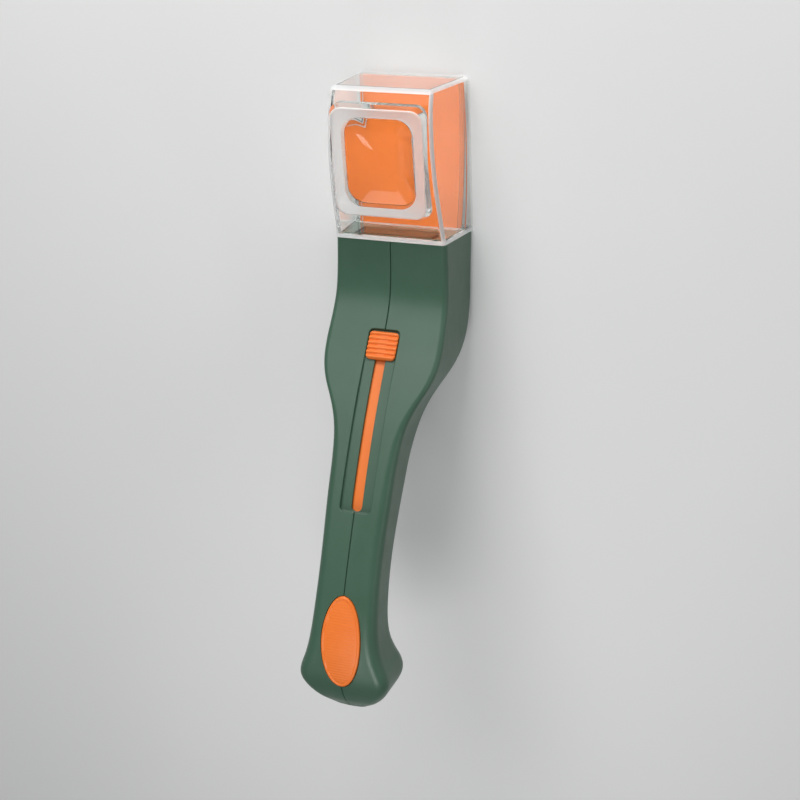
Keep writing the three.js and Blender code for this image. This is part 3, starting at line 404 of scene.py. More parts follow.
def front_radius(x, along):
    """Radius from the slide's centre at which the handle's front lies, found in six rounds."""
    angle = CLOSED_ANGLE + along / SLIDE_RADIUS
    radius = np.full(np.shape(along), FRONT_RADIUS)
    for _ in range(6):
        y, z = SLIDE_CENTRE[0] + radius * np.cos(angle), SLIDE_CENTRE[1] + radius * np.sin(angle)
        radius = radius + (front_surface(x, y) - z) * np.sin(angle)
    return radius


def groove_outline(half, ends, corner, spacing=1.5, corner_steps=7):
    """X, place along and outward direction of a rounded slot's outline, right side first and then mirrored."""
    low = []
    for turn in np.linspace(-math.pi / 2, 0, corner_steps):
        c, s = math.cos(turn), math.sin(turn)
        low.append((half - corner + corner * c, ends[0] + corner + corner * s, c, s))
    high = [(a, ends[0] + ends[1] - b, c, -d) for a, b, c, d in reversed(low)]
    straight = np.arange(ends[0] + corner + spacing, ends[1] - corner - spacing / 2, spacing)
    flat = np.linspace(FROM_SEAM, half - corner, 4)[:-1]
    start = [(a, ends[0], 0, -1) for a in flat]
    finish = [(a, ends[1], 0, 1) for a in flat[::-1]]
    right = np.array(start + low + [(half, a, 1, 0) for a in straight] + high + finish)
    left = right[::-1] * (-1, 1, -1, 1)
    return np.concatenate([right, left])


def grown(outline, by):
    return outline[:, 0] + by * outline[:, 2], outline[:, 1] + by * outline[:, 3]


def on_door(x, y, radius):
    """Points given by X, by the Y of the place on the door's lower face, and by radius."""
    angle = -math.pi / 2 + np.arcsin((np.asarray(y, float) - DOOR_CENTRE[0]) / DOOR_RADIUS)
    return spread(x, DOOR_CENTRE[0] + radius * np.cos(angle), DOOR_CENTRE[1] + radius * np.sin(angle))


def band(name, placed, radii, ends, xs, spacing=2.0):
    """A bar along the slide's or the door's arc, between two radii, two ends and two X."""
    places = np.linspace(*ends, max(2, round((ends[1] - ends[0]) / spacing) + 1))
    return loft(name, [[placed(x, place, radius) for x, radius in rectangle(xs, radii)] for place in places])


# ---- materials

MIX_FACTOR, MIX_FIRST, MIX_SECOND, MIX_RESULT = 0, 6, 7, 2  # the Mix node's sockets for colours
PLASTIC_IOR = 1.5
GRAIN_DEPTH = 0.00003
WEAR = 0.03  # how far handling moves the roughness
CLEAR_COLOUR = (0.975, 0.985, 0.98, 1)
CLEAR_SHADOW = (0.8, 0.81, 0.805, 1)
CLEAR_ROUGHNESS = (0.02, 0.05)


class Nodes:
    """A material's node tree, with short calls for the nodes used here."""

    def __init__(self, name):
        self.material = bpy.data.materials.new(name)
        self.material.use_nodes = True
        self.tree = self.material.node_tree
        self.tree.nodes.clear()
        self.output = self.tree.nodes.new("ShaderNodeOutputMaterial")
        self.place = self.tree.nodes.new("ShaderNodeTexCoord").outputs["Object"]

    def add(self, kind, **values):
        node = self.tree.nodes.new(kind)
        for key, value in values.items():
            setattr(node, key, value)
        return node

    def link(self, source, target):
        self.tree.links.new(source, target)

    def stretched(self, scale):
        node = self.add("ShaderNodeMapping")
        node.inputs["Scale"].default_value = scale
        self.link(self.place, node.inputs["Vector"])
        return node.outputs["Vector"]

    def noise(self, scale, detail=2.0, roughness=0.5, vector=None):
        node = self.add("ShaderNodeTexNoise")
        node.inputs["Scale"].default_value = scale
        node.inputs["Detail"].default_value = detail
        node.inputs["Roughness"].default_value = roughness
        self.link(vector or self.place, node.inputs["Vector"])
        return node.outputs["Fac"]

    def ranged(self, value, low, high, from_low=0.3, from_high=0.7):
        node = self.add("ShaderNodeMapRange")
        for name, number in (("From Min", from_low), ("From Max", from_high), ("To Min", low), ("To Max", high)):
            node.inputs[name].default_value = number
        self.link(value, node.inputs["Value"])
        return node.outputs["Result"]

    def blend(self, factor, first, second):
        node = self.add("ShaderNodeMix", data_type="RGBA")
        node.inputs[MIX_FIRST].default_value = (*first, 1)
        node.inputs[MIX_SECOND].default_value = (*second, 1)
        self.link(factor, node.inputs[MIX_FACTOR])
        return node.outputs[MIX_RESULT]

    def bump(self, height, strength, distance, normal=None):
        node = self.add("ShaderNodeBump")
        node.inputs["Strength"].default_value = strength
        node.inputs["Distance"].default_value = distance
        self.link(height, node.inputs["Height"])
        if normal:
            self.link(normal, node.inputs["Normal"])
        return node.outputs["Normal"]


def moulded_plastic(name, colour, deep, roughness, grain):
    """Opaque moulded plastic: a fine eroded grain, faint flow in the colour and hairline handling wear."""
    n = Nodes(name)
    shader = n.add("ShaderNodeBsdfPrincipled")
    shader.inputs["IOR"].default_value = PLASTIC_IOR
    flow = n.noise(scale=38, detail=3, roughness=0.55)
    n.link(n.blend(n.ranged(flow, 0, 1), deep, colour), shader.inputs["Base Color"])
    wear = n.noise(scale=900, detail=2, roughness=0.6, vector=n.stretched((1, 0.06, 1)))
    smudge = n.noise(scale=70, detail=4, roughness=0.6)
    mixed = n.add("ShaderNodeMath", operation="ADD")
    n.link(n.ranged(smudge, *roughness), mixed.inputs[0])
    n.link(n.ranged(wear, -WEAR, WEAR, from_low=0.35, from_high=0.75), mixed.inputs[1])
    n.link(mixed.outputs[0], shader.inputs["Roughness"])
    fine = n.noise(scale=grain, detail=2, roughness=0.6)
    ripple = n.bump(flow, strength=0.25, distance=0.00025)
    n.link(n.bump(fine, strength=0.35, distance=GRAIN_DEPTH, normal=ripple), shader.inputs["Normal"])
    n.link(shader.outputs[0], n.output.inputs["Surface"])
    return n.material


def clear_plastic(name, bend, haze_and_painted_highlight, frost=0.0):
    """Clear styrene: smooth, a little wavy, with faint scratches, and letting the lamps through."""
    n = Nodes(name)
    glass = n.add("ShaderNodeBsdfPrincipled")
    glass.inputs["Base Color"].default_value = CLEAR_COLOUR
    # A share of white scattering: a faint haze when small, and a painted highlight when large, as on the edge
    # material.
    glass.inputs["Transmission Weight"].default_value = 1 - haze_and_painted_highlight
    glass.inputs["IOR"].default_value = bend
    scratch = n.noise(scale=1500, detail=2, roughness=0.6, vector=n.stretched((0.05, 1, 1)))
    rough = [value + frost for value in CLEAR_ROUGHNESS]
    n.link(n.ranged(scratch, *rough, from_low=0.4, from_high=0.8), glass.inputs["Roughness"])
    wavy = n.noise(scale=55, detail=2, roughness=0.4)
    n.link(n.bump(wavy, strength=0.12, distance=0.0004), glass.inputs["Normal"])
    clear = n.add("ShaderNodeBsdfTransparent")
    clear.inputs["Color"].default_value = CLEAR_SHADOW
    mix = n.add("ShaderNodeMixShader")
    path = n.add("ShaderNodeLightPath")
    for source, target in zip((path.outputs["Is Shadow Ray"], glass.outputs[0], clear.outputs[0]), mix.inputs):
        n.link(source, target)
    n.link(mix.outputs[0], n.output.inputs["Surface"])
    return n.material


def turned_steel(name):
    """Screw steel, with the fine lines of turning round X."""
    n = Nodes(name)
    shader = n.add("ShaderNodeBsdfPrincipled")
    shader.inputs["Metallic"].default_value = 1
    tint = n.noise(scale=300)
    n.link(n.blend(n.ranged(tint, 0, 1), (0.43, 0.44, 0.46), (0.57, 0.58, 0.6)), shader.inputs["Base Color"])
    lines = n.noise(scale=2500, detail=3, roughness=0.7, vector=n.stretched((1, 0.1, 0.1)))
    n.link(n.ranged(lines, 0.22, 0.42), shader.inputs["Roughness"])
    n.link(n.bump(lines, strength=0.3, distance=0.00002), shader.inputs["Normal"])
    n.link(shader.outputs[0], n.output.inputs["Surface"])
    return n.material


THIN_CLEAR = clear_plastic("thin_clear_plastic", bend=1.3, haze_and_painted_highlight=0.004)
# Clear plastic that scatters white: a painted highlight, put on the chamber's edges and the lens's bevel.
PAINTED_HIGHLIGHT_CLEAR = clear_plastic("painted_highlight_plastic", bend=1.45, haze_and_painted_highlight=0.6, frost=0.4)
SLOT_MATERIAL = {
    "green_plastic": moulded_plastic(
        "green_plastic", colour=(0.052, 0.118, 0.075), deep=(0.046, 0.106, 0.066), roughness=(0.36, 0.44), grain=2600
    ),
    "orange_plastic": moulded_plastic(
        "orange_plastic", colour=(0.93, 0.212, 0.026), deep=(0.88, 0.19, 0.02), roughness=(0.38, 0.48), grain=2200
    ),
    "clear_plastic": clear_plastic("clear_plastic", bend=1.49, haze_and_painted_highlight=0.0),
    "screw_steel": turned_steel("screw_steel"),
}


def dress(obj, slot):
    obj.data.materials.clear()
    obj.data.materials.append(SLOT_MATERIAL[slot])


def slot_of(node):
    if node.startswith("handle_screw") or "rivet" in node or node in ("drive_pin", "slider_screw"):
        return "screw_steel"
    if node.endswith("shell"):
        return "green_plastic"
    if node in ("viewing_chamber", "magnifier_lens", "mouth_frame"):
        return "clear_plastic"
    return "orange_plastic"


for name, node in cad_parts.items():
    dress(node, slot_of(name))

# ---- handle shells

PARTING = 0.03  # half the seam between the shells, at the bottom of its groove
NEAR_END = -2.0  # of the chamber, where it meets the handle
HANDLE_END = NEAR_END - GAP
BULKHEAD = 2.4
HANDLE_WALL = 2.2
OUTSIDE_STEP = 1.2  # between rings
INSIDE_STEP = 3
SEAM_EDGE = 0.42
RECESS_HALF = BUTTON_HALF + RUNNING
END_CLEAR = 0.9
RECESS_ENDS = (-BUTTON_LENGTH / 2 - END_CLEAR, SLIDE_TRAVEL + BUTTON_LENGTH / 2 + END_CLEAR)
SLOT_ENDS = (-STEM_LENGTH / 2 - RUNNING, SLIDE_TRAVEL + BUTTON_LENGTH / 2 + RUNNING)
SLOT_BELOW = 2  # how far the slot's cutter reaches under the strip's face
RECESS_ROUNDS = (0.5, 0.4)  # fillet at the floor and rounded edge at the front
SLOT_ROUNDS = (0.05, 0.2)
SEAT_ROUNDS = (0.3, 0.3)
EDGE_TURN = math.radians(78)  # a cutter's rounded edge stops short of level
ABOVE_FRONT = 3
OVAL_CENTRE_Y = -177.2
OVAL_HALF_LENGTH = 22.1
OVAL_PROUD = 0.5
OVAL_SUNK = 1.5
OVAL_POLE = math.pi / 2 - 0.01  # the outline stops short of the seam
SEAT_WALL = 1.5
SEAT_TOP = -0.6
PEG_X = 6.6
PEG_ROOT = 0.4  # a peg starts this far inside the oval
PEG_LENGTH = 3.4
PEG_RADIUS = 1.2
PEG_BOSS_RADIUS = 3.0
PEG_SIDES = 32
SCREWS_AT = [(-13.5, 23.5), (-38, 9), (-128, 71), (-162, 84.5), (-203, 89)]
SCREW_RADIUS = 1.3
SCREW_HEAD_RADIUS = 2.6
SCREW_HEAD = 1.7
SCREW_LENGTH = 15
SCREW_SEAT_X = -8
BOSS_WALL = 1.3
RAIL_INNER, WEB_INNER, RAIL_OUTER = 5.7, 7.7, 9.2  # X of the carriage's rails
LIP_RADII = (354.6, 355.9)
DECK_TOP = FLOOR_RADIUS + 2.4
DECK_SPAN = (-8.4, 79.4)
GROOVE_BACK = -55  # where the door's grooves in the neck end
DOORWAY_END = 2
LEDGE = 1.3
LEDGE_INNER = 23.4
COLLAR_HALF = 20
COLLAR_ZS = (14.5, 27.5)
COLLAR_FROM = NEAR_END - BULKHEAD - 2 * GAP  # behind this the collar widens to its lip


def rounded_cutter(name, outline, placed, floor, front, rounds):
    """A groove's inside: a fillet at the floor, a straight wall and a rounded edge that meets the front."""
    fillet, edge = rounds
    levels = []
    for up, inwards in rounding(6):
        a, b = grown(outline, -fillet * inwards)
        levels.append(placed(a, b, floor(a, b) + fillet * up))
    for turn in np.linspace(0, EDGE_TURN, 7):
        a, b = grown(outline, edge * (1 - math.cos(turn)))
        levels.append(placed(a, b, front(a, b) - edge * (1 - math.sin(turn))))
    levels.append(placed(a, b, front(a, b) + ABOVE_FRONT))
    return loft(name, levels, strip_caps=True)


def oval_outline(grow, steps=56):
    """X, Y and outward direction of the oval's outline, right side first and then mirrored."""
    turn = np.linspace(-OVAL_POLE, OVAL_POLE, steps)
    x, y = OVAL_HALF_WIDTH * np.cos(turn), OVAL_HALF_LENGTH * np.sin(turn)
    normal = np.stack([np.cos(turn) / OVAL_HALF_WIDTH, np.sin(turn) / OVAL_HALF_LENGTH], 1)
    normal /= np.linalg.norm(normal, axis=1)[:, None]
    right = np.column_stack([x, OVAL_CENTRE_Y + y, normal])
    right[:, :2] += grow * normal
    right[:, 0] = np.maximum(right[:, 0], FROM_SEAM)
    return np.concatenate([right, right[::-1] * (-1, 1, -1, 1)])


def under_front(by):
    return lambda x, y: front_surface(x, y) - by


def at_radius(radius):
    return lambda x, along: np.full(np.shape(along), radius)


def oval_layer(name, grow, lower, upper):
    """A plate over the oval's outline, between two distances from the handle's front."""
    outline = oval_outline(grow)
    x, y = outline[:, 0], outline[:, 1]
    return loft(name, [spread(x, y, front_surface(x, y) + by) for by in (lower, upper)], strip_caps=True)


def oval_pegs(name, radius, sides=(-1, 1)):
    top = float(front_surface(0, OVAL_CENTRE_Y)) - OVAL_SUNK + PEG_ROOT
    turn = full_turn(PEG_SIDES)
    pegs = []
    for side in sides:
        x, y = side * PEG_X + radius * np.cos(turn), OVAL_CENTRE_Y + radius * np.sin(turn)
        pegs.append(loft(name + str(side), [spread(x, y, z) for z in (top - PEG_LENGTH, top)]))
    return pegs


def collar_block(name, grow, ys):
    half = COLLAR_HALF + grow
    return block(name, both(half), ys, (COLLAR_ZS[0] - grow, COLLAR_ZS[1] + grow))


def fittings():
    """What stands on the right shell's inside: the slider's deck and rails, the door's ledges and the bosses."""
    upper, lower = DOORWAY_RADII
    grooves, ledge_xs = (GROOVE_BACK, HANDLE_END - RUNNING), (LEDGE_INNER, BEYOND)
    pieces = [
        band("rail_lip", on_slide, LIP_RADII, DECK_SPAN, (RAIL_INNER, RAIL_OUTER)),
        band("rail_web", on_slide, (LIP_RADII[0], DECK_TOP), DECK_SPAN, (WEB_INNER, RAIL_OUTER)),
        band("ledge_upper", on_door, (upper - LEDGE, upper), grooves, ledge_xs),
        band("ledge_lower", on_door, (lower, lower + LEDGE), grooves, ledge_xs),
    ]
    boss_radius = SCREW_HEAD_RADIUS + RUNNING + BOSS_WALL
    pieces += [cross_rod("boss", boss_radius, (PARTING, BEYOND), at) for at in SCREWS_AT]
    pieces += oval_pegs("peg_boss", PEG_BOSS_RADIUS, (1,))
    deck = band("deck", on_slide, (WALL_UNDER, DECK_TOP), DECK_SPAN, (PARTING, RAIL_OUTER))
    mid_wall = half_handle("mid_wall", -HANDLE_WALL / 2, (HANDLE_END, BUTT_Y + 1), INSIDE_STEP, -PAST, COARSE)
    return common(joined(deck, *pieces), mid_wall)


def right_shell():
    shell = half_handle(
        "handle_right_shell_look", 0, (HANDLE_END, BUTT_Y), OUTSIDE_STEP, PARTING, seam_edge=SEAM_EDGE
    )
    inside_ys = (HANDLE_END - BULKHEAD, BUTT_Y + HANDLE_WALL)
    cut(shell, half_handle("inside", -HANDLE_WALL, inside_ys, INSIDE_STEP, -PAST, COARSE))
    seat = common(
        oval_layer("seat", SEAT_WALL, -OVAL_SUNK - GAP - SEAT_WALL, SEAT_TOP),
        block("right_side", (PARTING, BEYOND), (-5 * BEYOND, 0), (0, 4 * BEYOND)),
    )
    joined(shell, fittings(), seat)
    recess = groove_outline(RECESS_HALF, RECESS_ENDS, BUTTON_CORNER)
    slot = groove_outline(STEM_HALF + RUNNING, SLOT_ENDS, STEM_CORNER + RUNNING)
    floor, below = at_radius(FLOOR_RADIUS), at_radius(SLIDE_RADIUS - SLOT_BELOW)
    sunk, front = under_front(OVAL_SUNK + GAP), under_front(0)
    return cut(
        shell,
        rounded_cutter("recess", recess, on_slide, floor, front_radius, RECESS_ROUNDS),
        rounded_cutter("slot", slot, on_slide, below, floor, SLOT_ROUNDS),
        rounded_cutter("oval_seat", oval_outline(GAP), spread, sunk, front, SEAT_ROUNDS),
        *oval_pegs("peg_hole", PEG_RADIUS + GAP, (1,)),
        collar_block("collar_window", GAP, (COLLAR_FROM, PAST)),
        band("doorway", on_door, DOORWAY_RADII, (GROOVE_BACK, DOORWAY_END), both(DOORWAY_HALF)),
    )


right = right_shell()
left = mirrored(right, "handle_left_shell_look")
for at in SCREWS_AT:
    cut(right, cross_rod("pilot", SCREW_RADIUS + GAP, (-PAST, SCREW_SEAT_X + SCREW_LENGTH + GAP), at))
    cut(
        left,
        cross_rod("passage", SCREW_RADIUS + GAP, (SCREW_SEAT_X - PAST, PAST), at),
        cross_rod("head_passage", SCREW_HEAD_RADIUS + RUNNING, (-BEYOND, SCREW_SEAT_X), at),
    )


def finished(obj, node, body, slot, degrees=SHARP_ANGLE):
    """A finished piece: smooth, riding on its body, standing for its CAD node and made of its slot's material."""
    smooth(obj, degrees)
    dress(obj, slot)
    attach(obj, body)
    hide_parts(node)


finished(tidied(right), "handle_right_shell", "handle", "green_plastic")
finished(tidied(left), "handle_left_shell", "handle", "green_plastic")

# ---- chamber, lens and mouth frame

CHAMBER_LENGTH = 70.6  # beyond Y = 0
CHAMBER_WALL = 2.0
FACE_LINE = [(0, 33.8), (0.19, 38.2), (0.42, 43.2), (0.62, 45.6), (0.8, 46), (0.92, 45), (1, 42.8)]
FACE_SOFTENING = (1.5, 1.5)
FACE_EDGE_RADIUS = 2.0
FAR_EDGE_RADIUS = 2.5
FOOT_ROUND = 0.35
HOLLOW_EDGE = 0.6
MOUTH_HALF = (30.0, 27.7)  # at the chamber's two ends
FACE_HALF = (27.15, 24.6)
LEDGES_UNDER = 14.5  # Z that the chamber's ledges stay under
COLLAR_WALL = 2
COLLAR_LIP = 2  # length of the lip behind the bulkhead
LIP_GROWS = 1.5
face_line = line_through(
    [(a * CHAMBER_LENGTH, b) for a, b in FACE_LINE], float, CHAMBER_LENGTH, FACE_SOFTENING
)


def chamber_ring(y, inset, low, least=0.4, steps=9):
    """The chamber's section, drawn in by an inset, from Z = low up to the face."""
    share = min(max(y / CHAMBER_LENGTH, 0), 1)
    height = float(face_line(share * CHAMBER_LENGTH)) - inset
    rim, wide = (a + (b - a) * share - inset for a, b in (MOUTH_HALF, FACE_HALF))
    radius = max(FACE_EDGE_RADIUS - inset, least)
    lean = (rim - wide) / height
    right = [(rim - lean * low, low)]
    if low == 0:
        right = [(rim - FOOT_ROUND * inwards, FOOT_ROUND * up) for up, inwards in rounding(4)]
    right += turned(wide - radius, height - radius, radius, quarter_turn(steps))
    return [(x, y, z) for x, z in both_sides(right)]


def chamber_solid(name, grow):
    straight = CHAMBER_LENGTH - FAR_EDGE_RADIUS
    rings = [chamber_ring(y, -grow, 0) for y in (NEAR_END, *np.linspace(0, straight, 36))]
    for turn in quarter_turn(9)[1:]:
        inset = FAR_EDGE_RADIUS * (1 - math.cos(turn))
        rings.append(chamber_ring(straight + FAR_EDGE_RADIUS * math.sin(turn), inset - grow, 0))
    return loft(name, rings)


def chamber_hollow():
    ends, edge = (NEAR_END + CHAMBER_WALL, CHAMBER_LENGTH - CHAMBER_WALL), HOLLOW_EDGE
    near = [(ends[0] + edge * along, edge * inwards) for along, inwards in rounding(5)]
    far = [(ends[1] - a + ends[0], b) for a, b in reversed(near)]
    middle = [(y, 0) for y in np.linspace(ends[0] + edge, ends[1] - edge, 30)[1:-1]]
    places = near + middle + far
    return loft("hollow", [chamber_ring(y, CHAMBER_WALL + inset, -PAST, 0.9, 7) for y, inset in places])


LENS_CENTRE_Y = 37.5
LENS_TILT = math.radians(8.3297)
LENS_HEIGHT = 44.77491
LENS_SHARP_ANGLE = 20
LENS_FOOT = -8  # the frame starts under the face, which then cuts it
LENS_BASE_HALF = (23.1, 26.7)
LENS_CREST_HALF = (22, 25.5)
LENS_CREST_ROUND = (0.7, 0.5)  # inwards and down
LENS_WINDOW_HALF = (17.35, 21.3)
LENS_FRAME_RADIUS = 5.5
LENS_WINDOW_RADIUS = 8.5
LENS_RISE = 3.0
LENS_WINDOW_Z = 2.3
LENS_DOME = 1
DOME_SHARES = (0.97, 0.9, 0.8, 0.68, 0.55, 0.4, 0.25, 0.1)
PLUG_MARGIN = 1.2
PLUG_DEPTH = 4.6
PLUG_EDGE_DEPTH = 2.2
PLUG_TOP = LENS_WINDOW_Z - 0.5


def lens_ring(half, radius, z):
    """A rounded rectangle in the lens's own frame, which is tilted with the face."""
    ring = [(x, y, z) for x, y in rounded_rectangle(half, radius, 12)]
    return tilted(ring, LENS_TILT, (LENS_CENTRE_Y, LENS_HEIGHT))


def shrunk(half, by):
    return tuple(value - by for value in half)


def dome(half, radius, z, rise):
    return [
        lens_ring(tuple(value * share for value in half), radius * share, z + rise * (1 - share * share))
        for share in DOME_SHARES
    ]


PLUG_HALF = shrunk(LENS_WINDOW_HALF, PLUG_MARGIN)
PLUG_RADIUS = LENS_WINDOW_RADIUS - PLUG_MARGIN


def magnifier():
    profile = [lens_ring(LENS_BASE_HALF, LENS_FRAME_RADIUS, z) for z in (LENS_FOOT, 0)]
    for inwards, down in rounding(6):
        half = shrunk(LENS_CREST_HALF, LENS_CREST_ROUND[0] * inwards)
        profile.append(lens_ring(half, LENS_FRAME_RADIUS, LENS_RISE - LENS_CREST_ROUND[1] * down))
    profile.append(lens_ring(LENS_WINDOW_HALF, LENS_WINDOW_RADIUS, LENS_WINDOW_Z))
    profile += dome(LENS_WINDOW_HALF, LENS_WINDOW_RADIUS, LENS_WINDOW_Z, LENS_DOME)
    made = cut(loft("magnifier_lens_look", profile), chamber_solid("face_below", GAP))
    under = dome(PLUG_HALF, PLUG_RADIUS, -PLUG_EDGE_DEPTH, PLUG_EDGE_DEPTH - PLUG_DEPTH - 1)[::-1]
    side = [lens_ring(PLUG_HALF, PLUG_RADIUS, z) for z in (-PLUG_EDGE_DEPTH, PLUG_TOP)]
    return joined(made, loft("plug", under + side))


def painted_highlight_bevel(lens):
    """The frame round the window takes a painted highlight, a white scattering finish: every face above the window's
    rim and outside it.
    """
    lens.data.materials.append(PAINTED_HIGHLIGHT_CLEAR)
    c, s = math.cos(LENS_TILT), math.sin(LENS_TILT)
    for face in lens.data.polygons:
        x, y, z = face.center * 1000
        y, z = y - ORIGIN_Y - LENS_CENTRE_Y, z - LENS_HEIGHT
        along, above = c * y + s * z, -s * y + c * z
        over = [abs(v) - h + LENS_WINDOW_RADIUS for v, h in zip((x, along), LENS_WINDOW_HALF)]
        outside = math.hypot(*(max(v, 0) for v in over)) + min(max(over), 0) > LENS_WINDOW_RADIUS
        face.material_index = int(above > LENS_WINDOW_Z - 0.1 and outside)


def viewing_chamber():
    chamber = chamber_solid("viewing_chamber_look", 0)
    upper, middle = DOORWAY_RADII[0], CHAMBER_WALL / 2
    ledge_ys = (NEAR_END + middle, CHAMBER_LENGTH - middle)
    ledges = band("ledges", on_door, (upper - LEDGE, upper), ledge_ys, both(MOUTH_HALF[0]))
    clear_ys = (NEAR_END + CHAMBER_WALL, CHAMBER_LENGTH - CHAMBER_WALL)
    cut(ledges, block("clear", both(LEDGE_INNER), clear_ys, (-PAST, LEDGES_UNDER)))
    common(ledges, chamber_solid("outside", 0))
    hole, hole_zs = shrunk(PLUG_HALF, -GAP), (-PLUG_DEPTH - LENS_RISE, 2 * LENS_RISE)
    lens_hole = loft("lens_hole", [lens_ring(hole, PLUG_RADIUS + GAP, z) for z in hole_zs])
    end = COLLAR_FROM - COLLAR_LIP
    collar = collar_block("collar", 0, (end, NEAR_END + middle))
    joined(collar, collar_block("lip", LIP_GROWS, (end, end + COLLAR_LIP)))
    cut(collar, collar_block("bore", -COLLAR_WALL, (end - PAST, NEAR_END)))
    cut(chamber, chamber_hollow())
    joined(chamber, ledges)
    doorway_ys = (NEAR_END - CHAMBER_WALL, DOORWAY_END)
    cut(chamber, lens_hole, band("doorway", on_door, DOORWAY_RADII, doorway_ys, both(DOORWAY_HALF)))
    return joined(chamber, collar)


def painted_highlight_edges(chamber):
    """The rounded outer edges and the edge-on wall at the handle get a painted highlight, a white scattering finish
    in place of the light that thick clear edges catch.
    """
    chamber.data.materials.append(PAINTED_HIGHLIGHT_CLEAR)
    for face in chamber.data.polygons:
        x, y, z = face.normal
        at = face.center.y * 1000 - ORIGIN_Y
        sideways, outward, upward = abs(x) > 0.2, y > 0.45, z > 0.15
        long_edge = upward and sideways
        far_edge = at > CHAMBER_LENGTH - FAR_EDGE_RADIUS - 0.5 and outward and (upward or sideways)
        near_wall = at < NEAR_END + CHAMBER_WALL - 0.01
        face.material_index = int(at > NEAR_END + 0.1 and (long_edge or far_edge or near_wall))


def flat_sides(chamber):
    """The side walls and the end walls are plane, so the thin faces that cutting leaves there don't show."""
    square_on = 0.97
    for face in chamber.data.polygons:
        face.use_smooth = max(abs(face.normal.x), abs(face.normal.y)) < square_on


MOUTH_FRAME_HEIGHT = 5.2
MOUTH_FRAME_WIDTH = 2.4  # and the radius of its opening's corners
OVER_DOOR_YS = (-30, 104)


def mouth_frame():
    near, far = NEAR_END + CHAMBER_WALL + GAP, CHAMBER_LENGTH - CHAMBER_WALL - GAP
    lean = (MOUTH_HALF[0] - FACE_HALF[0]) / FACE_LINE[0][1]
    narrowing, inset = MOUTH_HALF[1] - MOUTH_HALF[0], CHAMBER_WALL + GAP
    rim = [MOUTH_HALF[0] + narrowing * y / CHAMBER_LENGTH - inset for y in (near, far)]
    rings = []
    for z in (0, MOUTH_FRAME_HEIGHT):
        a, b = (value - lean * z for value in rim)
        rings.append([(a, near, z), (b, far, z), (-b, far, z), (-a, near, z)])
    made = loft("mouth_frame_look", rings)
    drawn_in = 2 * MOUTH_FRAME_WIDTH
    x, low, high = DOOR_HALF_WIDTH - drawn_in, near + drawn_in, far - drawn_in
    outline = rounded_corners([(x, high, 0), (-x, high, 1), (-x, low, 2), (x, low, 3)], MOUTH_FRAME_WIDTH, 8)
    opening_zs, over_door = (-PAST, MOUTH_FRAME_HEIGHT + PAST), (DOOR_RADIUS / 2, DOORWAY_RADII[1])
    return cut(
        made,
        loft("opening", [[(x, y, z) for x, y in outline] for z in opening_zs]),
        band("over_door", on_door, over_door, OVER_DOOR_YS, both(MOUTH_HALF[0])),
    )


chamber = viewing_chamber()
finished(chamber, "viewing_chamber", "handle", "clear_plastic")
chamber.data.materials[0] = THIN_CLEAR
painted_highlight_edges(chamber)
flat_sides(chamber)
lens = tidied(magnifier())
finished(lens, "magnifier_lens", "handle", "clear_plastic", LENS_SHARP_ANGLE)
painted_highlight_bevel(lens)
rim_frame = tidied(mouth_frame())
finished(rim_frame, "mouth_frame", "handle", "clear_plastic")
rim_frame.data.materials[0] = THIN_CLEAR

# ---- slider, strip, oval grip, door and screws

BUTTON_PROUD = 1.2
BUTTON_RIBS = 6
RIB_DEPTH = 0.8
RIB_SHARPNESS = 1.4
BUTTON_EDGE = 0.55
BUTTON_END_ROUND = 0.5
BUTTON_ENDS = np.array([0, 0.02, 0.06, 0.13, 0.22, 0.33, 0.45])  # rings close to its ends
BUTTON_ROWS = 150
HOLE_RADIUS = 1.3  # for the slider's screw and the door's rivets
HOLE_SIDES = 24
SCREW_HOLE_ZS = (-7, 2)
STRIP = 1.2
STRIP_HEAD = (8, 6.6)  # half length and half width
STRIP_TAIL = (79.6, 4.6)  # length and half width


def on_slider(points):
    """Points in the closed slider's frame: Y to the chamber, Z out of the handle's front."""
    return tilted(points, CLOSED_ANGLE - math.pi / 2, on_slide(0, 0, SLIDE_RADIUS)[1:])


def column(name, outline, zs, placed):
    return loft(name, [placed([(x, y, z) for x, y in outline]) for z in zs])


def slider_button():
    half, base = BUTTON_LENGTH / 2, FLOOR_RADIUS - SLIDE_RADIUS + RUNNING
    crest = FRONT_RADIUS - SLIDE_RADIUS + BUTTON_PROUD
    ends = half - BUTTON_ENDS
    between = np.linspace(-half + BUTTON_EDGE, half - BUTTON_EDGE, BUTTON_ROWS)
    rings = []
    for y in np.concatenate([-ends, between, ends[::-1]]):
        from_end = half - abs(y)
        in_corner, in_round = max(0, BUTTON_CORNER - from_end), max(0, 1 - from_end / BUTTON_END_ROUND)
        wide = BUTTON_HALF - BUTTON_CORNER + math.sqrt(max(0, BUTTON_CORNER**2 - in_corner**2))
        notch = (0.5 + 0.5 * math.cos(2 * math.pi * (half - y) * BUTTON_RIBS / BUTTON_LENGTH)) ** RIB_SHARPNESS
        top = crest - RIB_DEPTH * notch - BUTTON_END_ROUND * (1 - math.sqrt(1 - in_round**2))
        right = [(wide, base)] + turned(wide - BUTTON_EDGE, top - BUTTON_EDGE, BUTTON_EDGE, quarter_turn(7))
        right += [(x, top) for x in np.linspace(wide - BUTTON_EDGE, 0.3, 5)[1:]]
        rings.append(on_slider([(x, y, z) for x, z in both_sides(right)]))
    button = loft("slider_button_look", rings)
    stem = rounded_rectangle((STEM_HALF, STEM_LENGTH / 2), STEM_CORNER)
    joined(button, column("stem", stem, (-STRIP, base + 1), on_slider))
    hole = turned(0, 0, HOLE_RADIUS, full_turn(HOLE_SIDES))
    return cut(button, column("hole", hole, SCREW_HOLE_ZS, on_slider))


